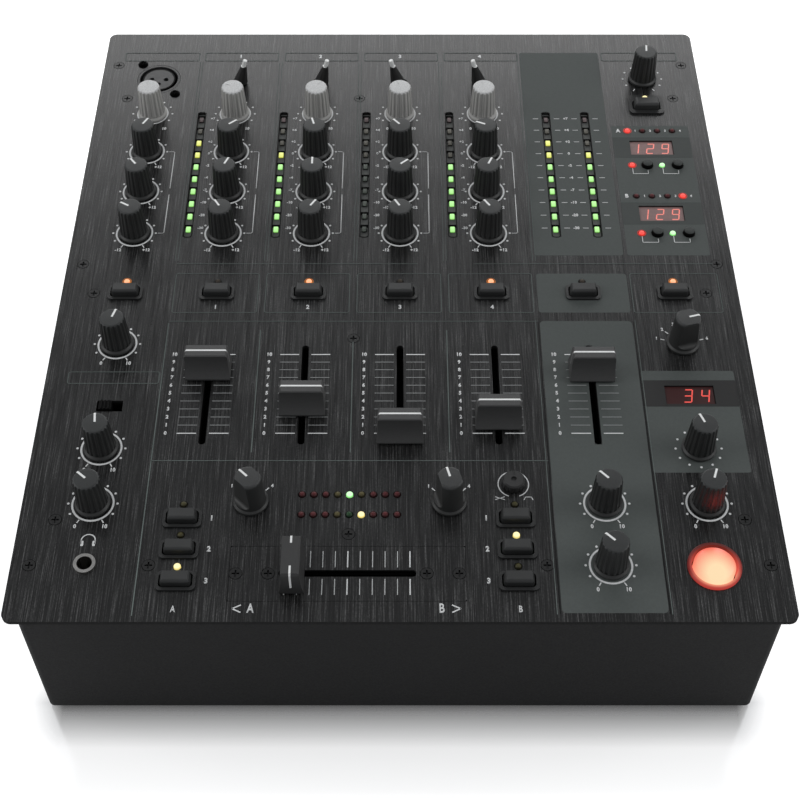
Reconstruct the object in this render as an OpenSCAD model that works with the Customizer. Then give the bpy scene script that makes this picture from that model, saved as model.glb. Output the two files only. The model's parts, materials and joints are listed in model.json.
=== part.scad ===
// Four-channel DJ mixer: a folded steel case under a flat control plate,
// with its knobs, faders, toggles, push buttons, lamps and sockets.
// Millimetres. Origin on the table under the middle of the control plate,
// +X to the user's right, +Y to the back, +Z up.

/* [Case] */
// Width of the control plate
plate_w = 320; // [316:1:330]
// Depth of the control plate, front to back
plate_d = 370; // [366:1:380]
// Thickness of the control plate
plate_t = 2; // [1.6:0.2:2.4]
// Height of the control plate's upper face above the table
plate_top = 84; // [82:1:96]
// Corner radius of the control plate
plate_r = 4; // [2:0.5:6]
// Distance of the case walls from the plate's side and front edges
case_inset = 4; // [3.5:0.5:5]
// Distance of the rear panel from the plate's back edge
rear_recess = 10; // [10:0.5:11]
// Thickness of the case's sheet steel
sheet = 1.2; // [1:0.1:1.5]
// Height of the rubber feet
foot_h = 3; // [2:0.5:4]

/* [Columns and rows] */
// Distance between the seven columns of controls
pitch = 43.3; // [43:0.1:43.6]
// Place of the gain knobs, front to back
gain_y = 119; // [118:0.5:120]
// Place of the lowest row of tone knobs
low_y = 31.5; // [31:0.5:32]
// Distance between the rows of tone knobs
tone_pitch = 29.15; // [28:0.05:29.5]
// Place of the row of cue buttons
cue_y = -7.7; // [-9:0.1:-7]
// Place of the input selector toggles
toggle_y = 143.5; // [142:0.5:145]

/* [Knobs] */
// Height of a knob's top above the plate
knob_h = 18.7; // [16:0.1:20]
// Radius of a knob's skirt
skirt_r = 7.5; // [7:0.1:7.6]
// Radius of a knob's body at the skirt
body_r = 6.7; // [6.2:0.1:6.8]
// Radius of a knob's top
top_r = 5.75; // [5.2:0.05:6]
// Flutes round a knob
flutes = 18; // [12:1:24]
// Radius of a control's spindle
spindle_r = 3; // [2.5:0.1:3]

/* [Faders] */
// Travel of each fader
fader_travel = 45; // [40:1:45]
// Place of the channel faders' zero mark
fader_zero_y = -90.9; // [-92:0.1:-90]
// Width of a fader cap across its ridge, at the bottom
cap_w = 20.4; // [18:0.2:21]
// Depth of a fader cap at the bottom
cap_d = 13; // [11:0.5:14]
// Height of a fader cap's ridge above the plate
cap_h = 14.4; // [12:0.2:15]
// Depth of the crossfader's slimmer cap at the bottom
xcap_d = 10; // [9:0.5:11]
// Setting of each channel fader and the main fader, 0 to 10
fader_set = [7.9, 3.4, 0, 1.7, 7.7];

/* [Buttons] */
// Width of a push button
button_w = 12.6; // [12:0.2:13]
// Depth of a push button
button_d = 5.6; // [5:0.1:6]
// Height of a push button above the plate
button_h = 4.4; // [3.5:0.1:5]
// Radius of the large effect button
dome_r = 8.7; // [8:0.1:8.8]
// Height of its middle above the plate
dome_top = 3.6; // [3.5:0.1:3.8]

/* [Hidden] */
$fn = 48;

// Columns, left to right: microphone, channels 1 to 4, main, effects
mic_x = -3 * pitch;
ch_x = [for (i = [-2:1]) i * pitch];
main_x = 2 * pitch;
fx_x = 3 * pitch;
tone_y = [low_y + 2 * tone_pitch, low_y + tone_pitch, low_y];
strip_y = concat([gain_y], tone_y);

// Single controls
width_xy = [130, 147];
talk_xy = [mic_x, -39.6];
mon_mix_xy = [mic_x, -99.1];
mon_level_xy = [mic_x, -128.1];
balance_xy = [main_x, -128.1];
booth_xy = [main_x, -158.6];
fx_level_xy = [fx_x, -128.1];
param_xy = [fx_x, -99.2];
source_xy = [fx_x, -39.3];
assign_a_xy = [-63.1, -127.2];
assign_b_xy = [20.8, -127.4];
curve_xy = [48.4, -118.1];
mode_xy = [-129.2, -75.7];
effect_xy = [129, -159.2];
mic_socket_xy = [-129.5, 147];
phones_xy = [-129.5, -158.1];

strip_pots = [for (x = concat([mic_x], ch_x)) for (y = strip_y) [x, y]];
single_pots = [width_xy, talk_xy, mon_mix_xy, mon_level_xy, balance_xy, booth_xy, fx_level_xy,
  param_xy, curve_xy];
rotaries = [source_xy, assign_a_xy, assign_b_xy];

// Faders: the slot is longer than the travel, because the lever has a width
slot_w = 3.2;
slot_l = 56.5;
slot_mid_y = -68.65;
fader_x = concat(ch_x, [main_x]);
xfade_xy = [-21.5, -162.4];
xplate_w = 96.8;
xplate_d = 26;
xplate_t = 1;

// Push buttons, and the lamp behind each
lamp_behind = 7;
kill_x = [-91.4, 48.5];
kill_y = [for (i = [0:2]) -135.5 - 15.3 * i];
bar_xy = [for (x = concat([mic_x], ch_x, [main_x, fx_x])) [x, cue_y]];
wide_key_xy = [130, 124.7];
cue_xy = concat(bar_xy, [wide_key_xy]);
kill_xy = [for (x = kill_x) for (y = kill_y) [x, y]];
beat_rows = [79.8, 31.5];
beat_xy = [for (y = beat_rows) for (x = [126, 141.4]) [x, y]];
wide_key = [13.3, 6];

// Round lamps
led_r = 1.5;
tempo_x = [for (i = [0:8]) -41.6 + 5.05 * i];
tempo_y = [-123.4, -133.6];
count_x = [for (i = [0:3]) 118.2 + 7.75 * i];
count_y = [105.7, 57.4];
beat_led_xy = [for (y = beat_rows) for (x = [118.3, 133.5]) [x, y]];
lamp_xy = concat(
  [for (p = concat(cue_xy, kill_xy)) [p[0], p[1] + lamp_behind]],
  [for (y = tempo_y) for (x = tempo_x) [x, y]],
  [for (y = count_y) for (x = count_x) [x, y]],
  beat_led_xy
);

// Level meters: ten bars in each strip
meter_x = [-104, -61, -17.6, 25.8, 76.5, 96.8];
meter_first_y = 35;
meter_pitch = 8.9;
meter_w = 4.6;
meter_l = 90.5;
meter_y = 74.55;

// Displays
display_xy = [[129.6, 93], [129.6, 45.3], [129.8, -69.3]];
display_w = 22;
display_d = 10.4;

// Countersunk screws of the plate: a pair at each place, then single ones
edge_screws = [[152.3, 158.4], [152.3, 10.8], [152.3, -158.5]];
board_screws = [[144.8, 131.3], [144.8, -8], [144.8, -136.1]];
middle_screws = [[-21.5, 131.3], [-21.5, -36.1], [-21.5, -143.3], [-103.3, -158.5],
  [60.5, -158.5]];
edge_xy = [for (s = [-1, 1]) for (p = edge_screws) [s * p[0], p[1]]];
board_xy = concat([for (s = [-1, 1]) for (p = board_screws) [s * p[0], p[1]]], middle_screws);
xplate_screws = [for (s = [-1, 1]) [xfade_xy[0] + s * 45.8, xfade_xy[1]]];
ear_x = 32.5;
xfader_screws = [for (s = [-1, 1]) [xfade_xy[0] + s * ear_x, xfade_xy[1]]];
mic_screws = [for (s = [-1, 1]) [mic_socket_xy[0] - s * 9.7, mic_socket_xy[1] + s * 12]];
screw_r = 1.5;
screw_head_r = 2.6;
screw_sink = 1.4;

// Heights, measured from the plate's upper face
board_top = -12;
board_t = 1.6;
gap = 0.6;
bush_r = 3.9;
bush_hole_r = 4.3;

// Rear panel, in millimetres from the table
rear_y = plate_d / 2 - rear_recess;
phono_x = [for (i = [0:7]) 8 + 17.6 * i];
phono_z = [34, 54];
xlr_x = [-52, -20];
xlr_z = 42;
inlet_x = -122;
inlet_z = 40;
rocker_x = -90;
usb_x = 110;
usb_z = 18;
ground_x = [34.4, 69.6];
ground_z = 18;

foot_r = 9;
foot_xy = [for (sx = [-1, 1]) for (sy = [-1, 1]) [sx * 132, sy * 150]];

// ---------- shared shapes ----------

module at(p, z = 0) {
  translate([p[0], p[1], plate_top + z]) children();
}

module rounded(w, d, r) {
  square([w - 2 * r, d], center = true);
  square([w, d - 2 * r], center = true);
  for (sx = [-1, 1])
    for (sy = [-1, 1])
      translate([sx * (w / 2 - r), sy * (d / 2 - r)]) circle(r);
}

// A flat-bottomed block standing on z = 0
module block(w, d, h) {
  translate([-w / 2, -d / 2, 0]) cube([w, d, h]);
}

// A slot with round ends along Y
module slot(w, l, h) {
  block(w, l - w, h);
  for (s = [-1, 1])
    translate([0, s * (l - w) / 2, 0]) cylinder(r = w / 2, h = h);
}

// ---------- top plate ----------

module countersink() {
  translate([0, 0, -plate_t - 1]) cylinder(r = screw_r + 0.25, h = plate_t + 2);
  translate([0, 0, -screw_sink])
    cylinder(r1 = screw_r + 0.25, r2 = screw_head_r + 0.3, h = screw_sink + 0.01);
}

module control_holes() {
  for (p = concat(strip_pots, single_pots, rotaries))
    at(p, -plate_t - 1) cylinder(r = bush_hole_r, h = plate_t + 2);
  for (x = ch_x)
    at([x, toggle_y], -plate_t - 1) cylinder(r = bush_hole_r, h = plate_t + 2);
  for (x = fader_x)
    at([x, slot_mid_y], -plate_t - 1) slot(slot_w, slot_l, plate_t + 2);
  for (p = concat(bar_xy, kill_xy))
    at(p, -plate_t - 1) block(button_w + 2.5, button_d + 2.3, plate_t + 2);
  at(wide_key_xy, -plate_t - 1) block(wide_key[0] + 2.5, wide_key[1] + 2.3, plate_t + 2);
  for (p = beat_xy)
    at(p, -plate_t - 1) cylinder(r = 3.05, h = plate_t + 2);
  at(effect_xy, -plate_t - 1) cylinder(r = 10.5, h = plate_t + 2);
  at(mode_xy, -plate_t - 1) block(11.6, 6, plate_t + 2);
}

module lamp_holes() {
  for (p = lamp_xy)
    at(p, -plate_t - 1) cylinder(r = led_r + 0.25, h = plate_t + 2);
  for (x = meter_x)
    at([x, meter_y], -plate_t - 1) block(meter_w, meter_l, plate_t + 2);
  for (p = display_xy)
    at(p, -plate_t - 1) block(display_w, display_d, plate_t + 2);
}

module top_plate() {
  color([0.16, 0.165, 0.165])
    difference() {
      translate([0, 0, plate_top - plate_t])
        linear_extrude(plate_t) rounded(plate_w, plate_d, plate_r);
      control_holes();
      lamp_holes();
      at(mic_socket_xy, -plate_t - 1) cylinder(r = 11.6, h = plate_t + 2);
      at(phones_xy, -plate_t - 1) cylinder(r = 4.2, h = plate_t + 2);
      // A shallow seat for the crossfader's own plate, and the opening under it
      at(xfade_xy, -xplate_t) block(xplate_w + 0.3, xplate_d + 0.3, xplate_t + 1);
      at(xfade_xy, -plate_t - 1) block(xplate_w - 18, xplate_d - 5, plate_t + 2);
      for (p = concat(edge_xy, board_xy))
        at(p) countersink();
      for (p = concat(xplate_screws, mic_screws))
        at(p, -plate_t - 1) cylinder(r = screw_r + 0.1, h = plate_t + 2);
    }
}

module crossfader_plate() {
  color([0.16, 0.165, 0.165])
    difference() {
      at(xfade_xy, -xplate_t) linear_extrude(xplate_t) rounded(xplate_w, xplate_d, 1);
      at(xfade_xy, -xplate_t - 1) rotate([0, 0, 90]) slot(slot_w, slot_l, xplate_t + 2);
      for (p = concat(xplate_screws, xfader_screws)) {
        at(p, -xplate_t - 1) cylinder(r = screw_r + 0.25, h = xplate_t + 2);
        at(p, -xplate_t)
          cylinder(r1 = screw_r + 0.5, r2 = screw_head_r + 0.3, h = xplate_t + 0.01);
      }
    }
}

// ---------- case ----------

case_w = plate_w - 2 * case_inset;
case_front = -plate_d / 2 + case_inset;
case_d = rear_y - case_front;
case_mid_y = (rear_y + case_front) / 2;
case_top = plate_top - plate_t;
case_r = 3;
flange = 6.2;

module rear_cutouts() {
  translate([0, rear_y + 1, 0]) rotate([90, 0, 0]) {
    for (x = phono_x)
      for (z = phono_z)
        translate([x, z, 0]) cylinder(r = 5, h = sheet + 2);
    for (x = xlr_x)
      translate([x, xlr_z, 0]) cylinder(r = 11.4, h = sheet + 2);
    translate([inlet_x, inlet_z, 0]) linear_extrude(sheet + 2) square([27.6, 20.2], center = true);
    translate([rocker_x, inlet_z, 0]) linear_extrude(sheet + 2) square([13.6, 19.6], center = true);
    translate([usb_x, usb_z, 0]) linear_extrude(sheet + 2) square([12.4, 11.4], center = true);
    for (x = ground_x)
      translate([x, ground_z, 0]) cylinder(r = 2.3, h = sheet + 2);
  }
}

module bottom_case() {
  color([0.07, 0.07, 0.07])
    difference() {
      translate([0, case_mid_y, foot_h])
        linear_extrude(case_top - foot_h) rounded(case_w, case_d, case_r);
      // The inside, and the opening left by the flanges that carry the plate
      translate([0, case_mid_y, foot_h + sheet])
        linear_extrude(case_top - foot_h - 2 * sheet)
          rounded(case_w - 2 * sheet, case_d - 2 * sheet, case_r - sheet);
      translate([0, case_mid_y, foot_h + sheet])
        linear_extrude(case_top)
          rounded(case_w - 2 * flange - 2 * sheet, case_d - 2 * flange - 2 * sheet, 2);
      for (p = edge_xy)
        at(p, -plate_t - 8) cylinder(r = screw_r + 0.1, h = 10);
      rear_cutouts();
      // Air slots in the floor under the power supply and under the boards
      for (i = [0:11])
        translate([-140 + 7 * i, 95, foot_h - 1]) slot(3, 50, sheet + 2);
      for (i = [0:11])
        translate([62 + 7 * i, 95, foot_h - 1]) slot(3, 50, sheet + 2);
      for (p = foot_xy)
        translate([p[0], p[1], foot_h - 1]) cylinder(r = 1.6, h = sheet + 2);
    }
}

module rubber_feet() {
  color([0.05, 0.05, 0.05])
    for (p = foot_xy)
      translate([p[0], p[1], 0])
        difference() {
          cylinder(r1 = foot_r - 1, r2 = foot_r, h = foot_h);
          translate([0, 0, -1]) cylinder(r = 3.4, h = 2.4);
          translate([0, 0, -1]) cylinder(r = 1.6, h = foot_h + 2);
        }
}

// ---------- boards and what sits on them ----------

module standoff() {
  translate([0, 0, board_top])
    difference() {
      cylinder(r = 2.8, h = -board_top - plate_t);
      translate([0, 0, -1]) cylinder(r = screw_r + 0.1, h = 20);
    }
}

module circuit_boards() {
  color([0.05, 0.25, 0.12]) {
    difference() {
      at([0, -3], board_top - board_t) block(302, 342, board_t);
      at(mic_socket_xy, board_top - 5) block(26, 32, 10);
      at(phones_xy, board_top - 5) block(15, 18, 10);
      for (p = board_xy)
        at(p, board_top - 5) cylinder(r = screw_r + 0.1, h = 10);
    }
    // The upright board behind the rear sockets, with the bodies of the phono sockets on it
    translate([69.6, rear_y - sheet - 12.8 - board_t / 2, 9]) block(146, board_t, 56);
    for (x = phono_x)
      for (z = phono_z)
        on_rear(x, z)
          translate([0, 0, -sheet - 12.9]) linear_extrude(12.8) square([11, 16], center = true);
  }
  color("silver")
    for (p = board_xy)
      at(p) standoff();
}

module pot_body(size) {
  difference() {
    union() {
      translate([0, 0, board_top]) block(size, size, 6);
      translate([0, 0, board_top + 5]) cylinder(r = bush_r, h = -board_top - 5.4);
    }
    translate([0, 0, board_top + 1.5]) cylinder(r = spindle_r + 0.08, h = 20);
  }
}

module toggle_body() {
  difference() {
    union() {
      translate([0, 0, board_top]) block(9, 13, 9);
      translate([0, 0, board_top + 8]) cylinder(r = bush_r, h = -board_top - 7.7);
    }
    translate([0, 0, board_top + 2]) cylinder(r = 3.1, h = 30);
  }
}

module fader_body() {
  difference() {
    translate([0, 0, board_top]) block(9, 68, 9);
    translate([0, 0, board_top + 2]) block(2.4, slot_l + 2, 10);
  }
}

// The crossfader's body hangs from its own plate by two threaded ears
module crossfader_body() {
  difference() {
    union() {
      rotate([0, 0, 90]) fader_body();
      for (s = [-1, 1])
        translate([s * ear_x, 0, board_top + 2]) block(8, 8, -board_top - 2 - xplate_t);
    }
    rotate([0, 0, 90]) translate([0, 0, board_top + 2]) block(2.4, slot_l + 1, 12);
    for (s = [-1, 1])
      translate([s * ear_x, 0, -6]) cylinder(r = screw_r, h = 8);
  }
}

module tact_switch() {
  translate([0, 0, board_top]) block(6, 6, 2.6);
  translate([0, 0, board_top]) cylinder(r = 1.7, h = 3.4);
}

module rocker_housing() {
  translate([rocker_x, rear_y, inlet_z]) rotate([-90, 0, 0])
    difference() {
      union() {
        linear_extrude(1.6) rounded(15.4, 21.4, 1);
        translate([0, 0, -14]) linear_extrude(14.2) square([13.2, 19.2], center = true);
      }
      translate([0, 0, -8]) linear_extrude(12) square([11.2, 17.2], center = true);
    }
}

module control_bodies() {
  color([0.45, 0.46, 0.47]) {
    for (p = strip_pots)
      at(p) pot_body(9.6);
    for (p = single_pots)
      at(p) pot_body(11);
    for (p = rotaries)
      at(p) pot_body(14);
    for (x = ch_x)
      at([x, toggle_y]) toggle_body();
    for (x = fader_x)
      at([x, slot_mid_y]) fader_body();
    at(xfade_xy) crossfader_body();
    for (p = concat(cue_xy, kill_xy, beat_xy, [effect_xy]))
      at(p) tact_switch();
    at(mode_xy)
      difference() {
        translate([0, 0, board_top]) block(16, 9, 9.4);
        translate([0, 0, board_top + 4]) block(10.4, 5.4, 10);
      }
    rocker_housing();
  }
}

module power_supply() {
  board_z = foot_h + sheet + 4;
  color([0.30, 0.24, 0.12]) translate([-102, 82, board_z]) block(84, 120, 1.6);
  color("silver")
    for (sx = [-1, 1])
      for (sy = [-1, 1])
        translate([-102 + sx * 37, 82 + sy * 55, foot_h + sheet]) cylinder(r = 3, h = 4);
  color([0.75, 0.62, 0.2]) translate([-104, 60, board_z + 1.6]) block(34, 30, 28);
  color([0.1, 0.1, 0.35])
    for (i = [0:2])
      translate([-130 + 24 * i, 102, board_z + 1.6]) cylinder(r = 8, h = 26);
  // Heat sink with upright fins
  color("silver") translate([-76, 60, board_z + 1.6]) {
    block(3, 44, 26);
    for (i = [0:6])
      translate([5, -20 + 6.6 * i, 0]) block(9, 1.6, 26);
  }
}

// ---------- lamps, meters and displays ----------

module round_lamp() {
  translate([0, 0, board_top]) cylinder(r = 2.2, h = -board_top - plate_t - 0.6);
  translate([0, 0, -4]) cylinder(r = led_r, h = 4);
  difference() {
    sphere(r = led_r);
    translate([0, 0, -2]) block(4, 4, 2);
    translate([0, 0, 0.9]) block(4, 4, 2);
  }
}

module level_meter() {
  color([0.03, 0.03, 0.03])
    translate([0, 0, board_top]) block(meter_w - 0.3, meter_l - 0.4, -board_top - 0.9);
  for (i = [0:9])
    translate([0, meter_first_y + meter_pitch * i - meter_y, -1.2])
      color(i > 8 ? "darkred" : i > 7 ? "olive" : "darkgreen") block(2.6, 4, 0.8);
}

module indicator_lamps() {
  color([0.35, 0.1, 0.08])
    for (p = lamp_xy)
      at(p) round_lamp();
  for (x = meter_x)
    at([x, meter_y]) level_meter();
  color([0.1, 0.1, 0.1])
    for (p = display_xy)
      at(p, board_top) block(display_w + 2, display_d + 3, -board_top - plate_t - 0.4);
}

module display_windows() {
  color([0.35, 0.2, 0.2])
    for (p = display_xy)
      at(p, -plate_t) block(display_w - 0.3, display_d - 0.3, plate_t - 0.6);
}

// ---------- button frames ----------

// The frame round a key w by d; outline and shift give the size and place of its flange
module bezel(w, d, outline, shift, r) {
  difference() {
    union() {
      translate([0, shift, 0]) linear_extrude(1) rounded(outline[0], outline[1], r);
      translate([0, 0, -3]) block(w + 2.3, d + 2.1, 3.2);
    }
    translate([0, 0, -5]) linear_extrude(10) rounded(w + 1.3, d + 1.1, 1.6);
  }
}

// The wide key's frame, which goes round its lamp too
module wide_bezel() {
  difference() {
    bezel(wide_key[0], wide_key[1], [18.4, 14.3], 1.15, 2.5);
    translate([0, lamp_behind, -1]) cylinder(r = led_r + 0.1, h = 3);
  }
}

module effect_ring() {
  rotate_extrude()
    polygon([[10.2, -4], [10.4, 0], [11.2, 0], [11.2, 0.9], [10.6, 1.6], [9.6, 1.6], [9.1, -4]]);
}

module button_bezels() {
  color([0.1, 0.1, 0.1])
    for (p = concat(bar_xy, kill_xy))
      at(p) bezel(button_w, button_d, [16.5, 9.1], -0.25, 2.2);
  color([0.1, 0.1, 0.1]) at(wide_key_xy) wide_bezel();
  color([0.6, 0.1, 0.08]) at(effect_xy) effect_ring();
}

// ---------- sockets ----------

module mic_socket() {
  color([0.25, 0.25, 0.26])
    difference() {
      union() {
        translate([0, 0, -16]) cylinder(r = 11.4, h = 16);
        translate([0, 0, -plate_t - 2]) block(24, 30, 2);
        translate([0, 0, -24]) block(20, 20, 9);
      }
      // The ring gap that takes the plug's shell, then its three contacts
      translate([0, 0, -14])
        difference() {
          cylinder(r = 10.2, h = 20);
          cylinder(r = 8.7, h = 13.8);
        }
      for (p = [[-3.8, 0], [3.8, 0], [0, -3.8]])
        translate([p[0], p[1], -12]) cylinder(r = 1.35, h = 20);
      for (p = mic_screws)
        translate([p[0] - mic_socket_xy[0], p[1] - mic_socket_xy[1], -6])
          cylinder(r = screw_r + 0.1, h = 10);
    }
}

module phones_jack() {
  color("silver")
    difference() {
      union() {
        cylinder(r = 4.6, h = 1.2);
        translate([0, 0, -4]) cylinder(r = 4, h = 4.5);
        translate([0, 0, -28]) block(12, 14, 25.8);
      }
      translate([0, 0, -26]) cylinder(r = 3.2, h = 30);
    }
}

// The sleeve a plug slides over, with its insulating washer loose round its foot
module phono_socket() {
  difference() {
    translate([0, 0, -sheet]) cylinder(r = 4.15, h = sheet + 9);
    translate([0, 0, 8.4]) cylinder(r = 3.5, h = 2);
    translate([0, 0, 1]) cylinder(r = 1.6, h = 10);
  }
  difference() {
    cylinder(r = 5.8, h = 0.8);
    translate([0, 0, -1]) cylinder(r = 4.4, h = 3);
  }
}

module xlr_outlet() {
  difference() {
    union() {
      linear_extrude(1.6) rounded(26, 31, 2);
      translate([0, 0, -18]) cylinder(r = 11.1, h = 18.2);
    }
    translate([0, 0, -15]) cylinder(r = 9.6, h = 20);
    for (s = [-1, 1])
      translate([s * 9.5, s * 12, -1]) cylinder(r = 1.6, h = 4);
  }
  for (p = [[-3.8, 0], [3.8, 0], [0, -3.8]])
    translate([p[0], p[1], -16]) cylinder(r = 1.2, h = 13);
}

module mains_inlet() {
  difference() {
    union() {
      linear_extrude(2.4) rounded(31, 24, 2);
      translate([0, 0, -20]) linear_extrude(20.2) square([27.2, 19.8], center = true);
    }
    translate([0, 0, -15])
      linear_extrude(20)
        polygon([[-12.2, 8.3], [12.2, 8.3], [12.2, -3.6], [7.6, -8.3], [-7.6, -8.3], [-12.2, -3.6]]);
  }
  for (p = [[-7, -1.6], [7, -1.6], [0, 2.4]])
    translate([p[0], p[1], -16]) linear_extrude(13.5) square([2, 4], center = true);
}

module usb_socket() {
  difference() {
    translate([0, 0, -13.8]) linear_extrude(14.4) square([12, 11], center = true);
    translate([0, 0, -8]) linear_extrude(10) square([8.6, 7.8], center = true);
  }
  translate([0, 0, -9]) linear_extrude(8) square([5.6, 3.2], center = true);
}

module ground_post() {
  translate([0, 0, -sheet - 4]) cylinder(r = 2, h = 12);
  translate([0, 0, 1.2]) cylinder(r = 4, h = 4.6);
  translate([0, 0, -sheet - 3]) cylinder(r = 3.6, h = 2.4);
}

module on_rear(x, z) {
  translate([x, rear_y, z]) rotate([-90, 0, 0]) mirror([0, 1, 0]) children();
}

module sockets() {
  at(mic_socket_xy) mic_socket();
  at(phones_xy) phones_jack();
  color([0.75, 0.6, 0.25])
    for (x = phono_x)
      for (z = phono_z)
        on_rear(x, z) phono_socket();
  color([0.55, 0.55, 0.56])
    for (x = xlr_x)
      on_rear(x, xlr_z) xlr_outlet();
  color([0.08, 0.08, 0.08]) on_rear(inlet_x, inlet_z) mains_inlet();
  color("silver") on_rear(usb_x, usb_z) usb_socket();
  color("silver")
    for (x = ground_x)
      on_rear(x, ground_z) ground_post();
}

// ---------- screws ----------

module cross_recess() {
  for (a = [0, 90])
    rotate([0, 0, a]) translate([0, 0, -0.9]) block(3.2, 0.7, 2);
}

module sunk_screw(length, sink) {
  difference() {
    union() {
      translate([0, 0, -length]) cylinder(r = screw_r - 0.02, h = length);
      translate([0, 0, -sink]) cylinder(r1 = screw_r - 0.02, r2 = screw_head_r, h = sink);
    }
    cross_recess();
  }
}

module dome_screw() {
  difference() {
    union() {
      translate([0, 0, -6]) cylinder(r = screw_r - 0.02, h = 7);
      rotate_extrude()
        intersection() {
          translate([0, -1.45]) circle(r = 3.2);
          square([2.7, 3]);
        }
    }
    translate([0, 0, 1.7]) cross_recess();
  }
}

module screws() {
  color([0.12, 0.12, 0.12]) {
    for (p = edge_xy)
      at(p) sunk_screw(7, screw_sink);
    for (p = board_xy)
      at(p) sunk_screw(9, screw_sink);
    for (p = xplate_screws)
      at(p) sunk_screw(5, 0.9);
    for (p = xfader_screws)
      at(p) sunk_screw(5, 0.9);
    for (p = mic_screws)
      at(p, 0.02) dome_screw();
  }
}

// ---------- knobs ----------

skirt_top = 2.1;
hub_r = 4.2;
recess_r = 5.3;
recess_top = 8;
bore_r = spindle_r + 0.02;
bore_top = 7;
end_gap = 0.15;
round_r = 1.2;
flute_r = 0.85;
flute_out = 0.3;
knob_lean = atan((body_r - top_r) / (knob_h - skirt_top));

// Half sections of a knob: the bore for the spindle, the hollow round the hub, and the outside,
// which is rolled over at the top
bore_half = [[0, bore_top], [bore_r, bore_top], [bore_r, gap]];
hub_half = [[hub_r, gap], [hub_r, recess_top], [recess_r, recess_top], [recess_r, gap]];
outer_half = concat(
  [[skirt_r, gap], [skirt_r, skirt_top - 0.5], [skirt_r - 0.5, skirt_top], [body_r, skirt_top + 0.3]],
  [for (a = [0:15:90])
    [top_r - round_r * (1 - cos(a)), knob_h - 0.15 - round_r * (1 - sin(a))]],
  [[0, knob_h]]
);

// The control's spindle, from inside its body to just short of the end of the knob's bore
module spindle(bore_end) {
  color("silver")
    translate([0, 0, board_top + 2])
      cylinder(r = spindle_r, h = bore_end - end_gap - board_top - 2);
}

module pointer_groove(inner, outer, top) {
  translate([-0.5, inner, top - 0.3]) cube([1, outer - inner, 1]);
}

// A fluted knob whose pointer stands turn degrees clockwise of straight ahead
module fluted_knob(turn, shade) {
  rotate([0, 0, -turn]) {
    color(shade)
      difference() {
        rotate_extrude() polygon(concat(bore_half, hub_half, outer_half));
        for (i = [0:flutes - 1])
          rotate([0, 0, 360 * (i + 0.5) / flutes + 90])
            translate([body_r + flute_out, 0, skirt_top + 0.6])
              rotate([0, -knob_lean, 0]) cylinder(r = flute_r, h = knob_h, $fn = 24);
        pointer_groove(1.4, top_r + 1, knob_h);
      }
    spindle(bore_top);
  }
}

flat_x = 4.5;
flat_z = 3.6;
flare_r = 2;

// A smooth knob with two flats, so that it is narrow along its pointer
module flatted_knob(turn) {
  rotate([0, 0, -turn]) {
    color([0.13, 0.13, 0.13])
      difference() {
        rotate_extrude() polygon(concat(bore_half, outer_half));
        for (s = [0, 1])
          mirror([s, 0, 0])
            rotate([90, 0, 0]) translate([0, 0, -10]) linear_extrude(20) {
              translate([flat_x + flare_r, flat_z]) square([10, knob_h]);
              translate([flat_x, flat_z + flare_r]) square([10, knob_h]);
              translate([flat_x + flare_r, flat_z + flare_r]) circle(flare_r);
            }
        pointer_groove(0.6, top_r + 1, knob_h);
      }
    spindle(bore_top);
  }
}

trim_top = 4.3;
trim_bore_top = 2.6;

// The low trimmer for the crossfader's curve
module trim_knob() {
  color([0.12, 0.12, 0.12])
    difference() {
      rotate_extrude()
        polygon([
          [0, trim_bore_top], [bore_r, trim_bore_top], [bore_r, gap], [5, gap], [5, 1.6],
          [4.7, trim_top - 0.7], [4.1, trim_top], [1.2, trim_top], [0.9, trim_top - 0.8],
          [0, trim_top - 0.8]
        ]);
      for (i = [0:13])
        rotate([0, 0, 360 * (i + 0.5) / 14])
          translate([5.25, 0, gap - 1]) cylinder(r = 0.62, h = 8, $fn = 24);
      pointer_groove(1.8, 6, trim_top);
    }
  spindle(trim_bore_top);
}

black = [0.12, 0.12, 0.12];
grey = [0.55, 0.55, 0.54];

module mic_level_knob() { at([mic_x, strip_y[0]]) fluted_knob(-15, grey); }
module mic_high_knob() { at([mic_x, strip_y[1]]) fluted_knob(28, black); }
module mic_mid_knob() { at([mic_x, strip_y[2]]) fluted_knob(-37, black); }
module mic_low_knob() { at([mic_x, strip_y[3]]) fluted_knob(-59, black); }
module ch1_gain_knob() { at([ch_x[0], strip_y[0]]) fluted_knob(-69, grey); }
module ch1_high_knob() { at([ch_x[0], strip_y[1]]) fluted_knob(50, black); }
module ch1_mid_knob() { at([ch_x[0], strip_y[2]]) fluted_knob(22, black); }
module ch1_low_knob() { at([ch_x[0], strip_y[3]]) fluted_knob(-32, black); }
module ch2_gain_knob() { at([ch_x[1], strip_y[0]]) fluted_knob(42, grey); }
module ch2_high_knob() { at([ch_x[1], strip_y[1]]) fluted_knob(-15, black); }
module ch2_mid_knob() { at([ch_x[1], strip_y[2]]) fluted_knob(0, black); }
module ch2_low_knob() { at([ch_x[1], strip_y[3]]) fluted_knob(32, black); }
module ch3_gain_knob() { at([ch_x[2], strip_y[0]]) fluted_knob(-28, grey); }
module ch3_high_knob() { at([ch_x[2], strip_y[1]]) fluted_knob(-40, black); }
module ch3_mid_knob() { at([ch_x[2], strip_y[2]]) fluted_knob(48, black); }
module ch3_low_knob() { at([ch_x[2], strip_y[3]]) fluted_knob(-30, black); }
module ch4_gain_knob() { at([ch_x[3], strip_y[0]]) fluted_knob(-22, grey); }
module ch4_high_knob() { at([ch_x[3], strip_y[1]]) fluted_knob(-66, black); }
module ch4_mid_knob() { at([ch_x[3], strip_y[2]]) fluted_knob(23, black); }
module ch4_low_knob() { at([ch_x[3], strip_y[3]]) fluted_knob(-33, black); }
module width_knob() { at(width_xy) fluted_knob(5, black); }
module talkover_knob() { at(talk_xy) fluted_knob(16, black); }
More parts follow.
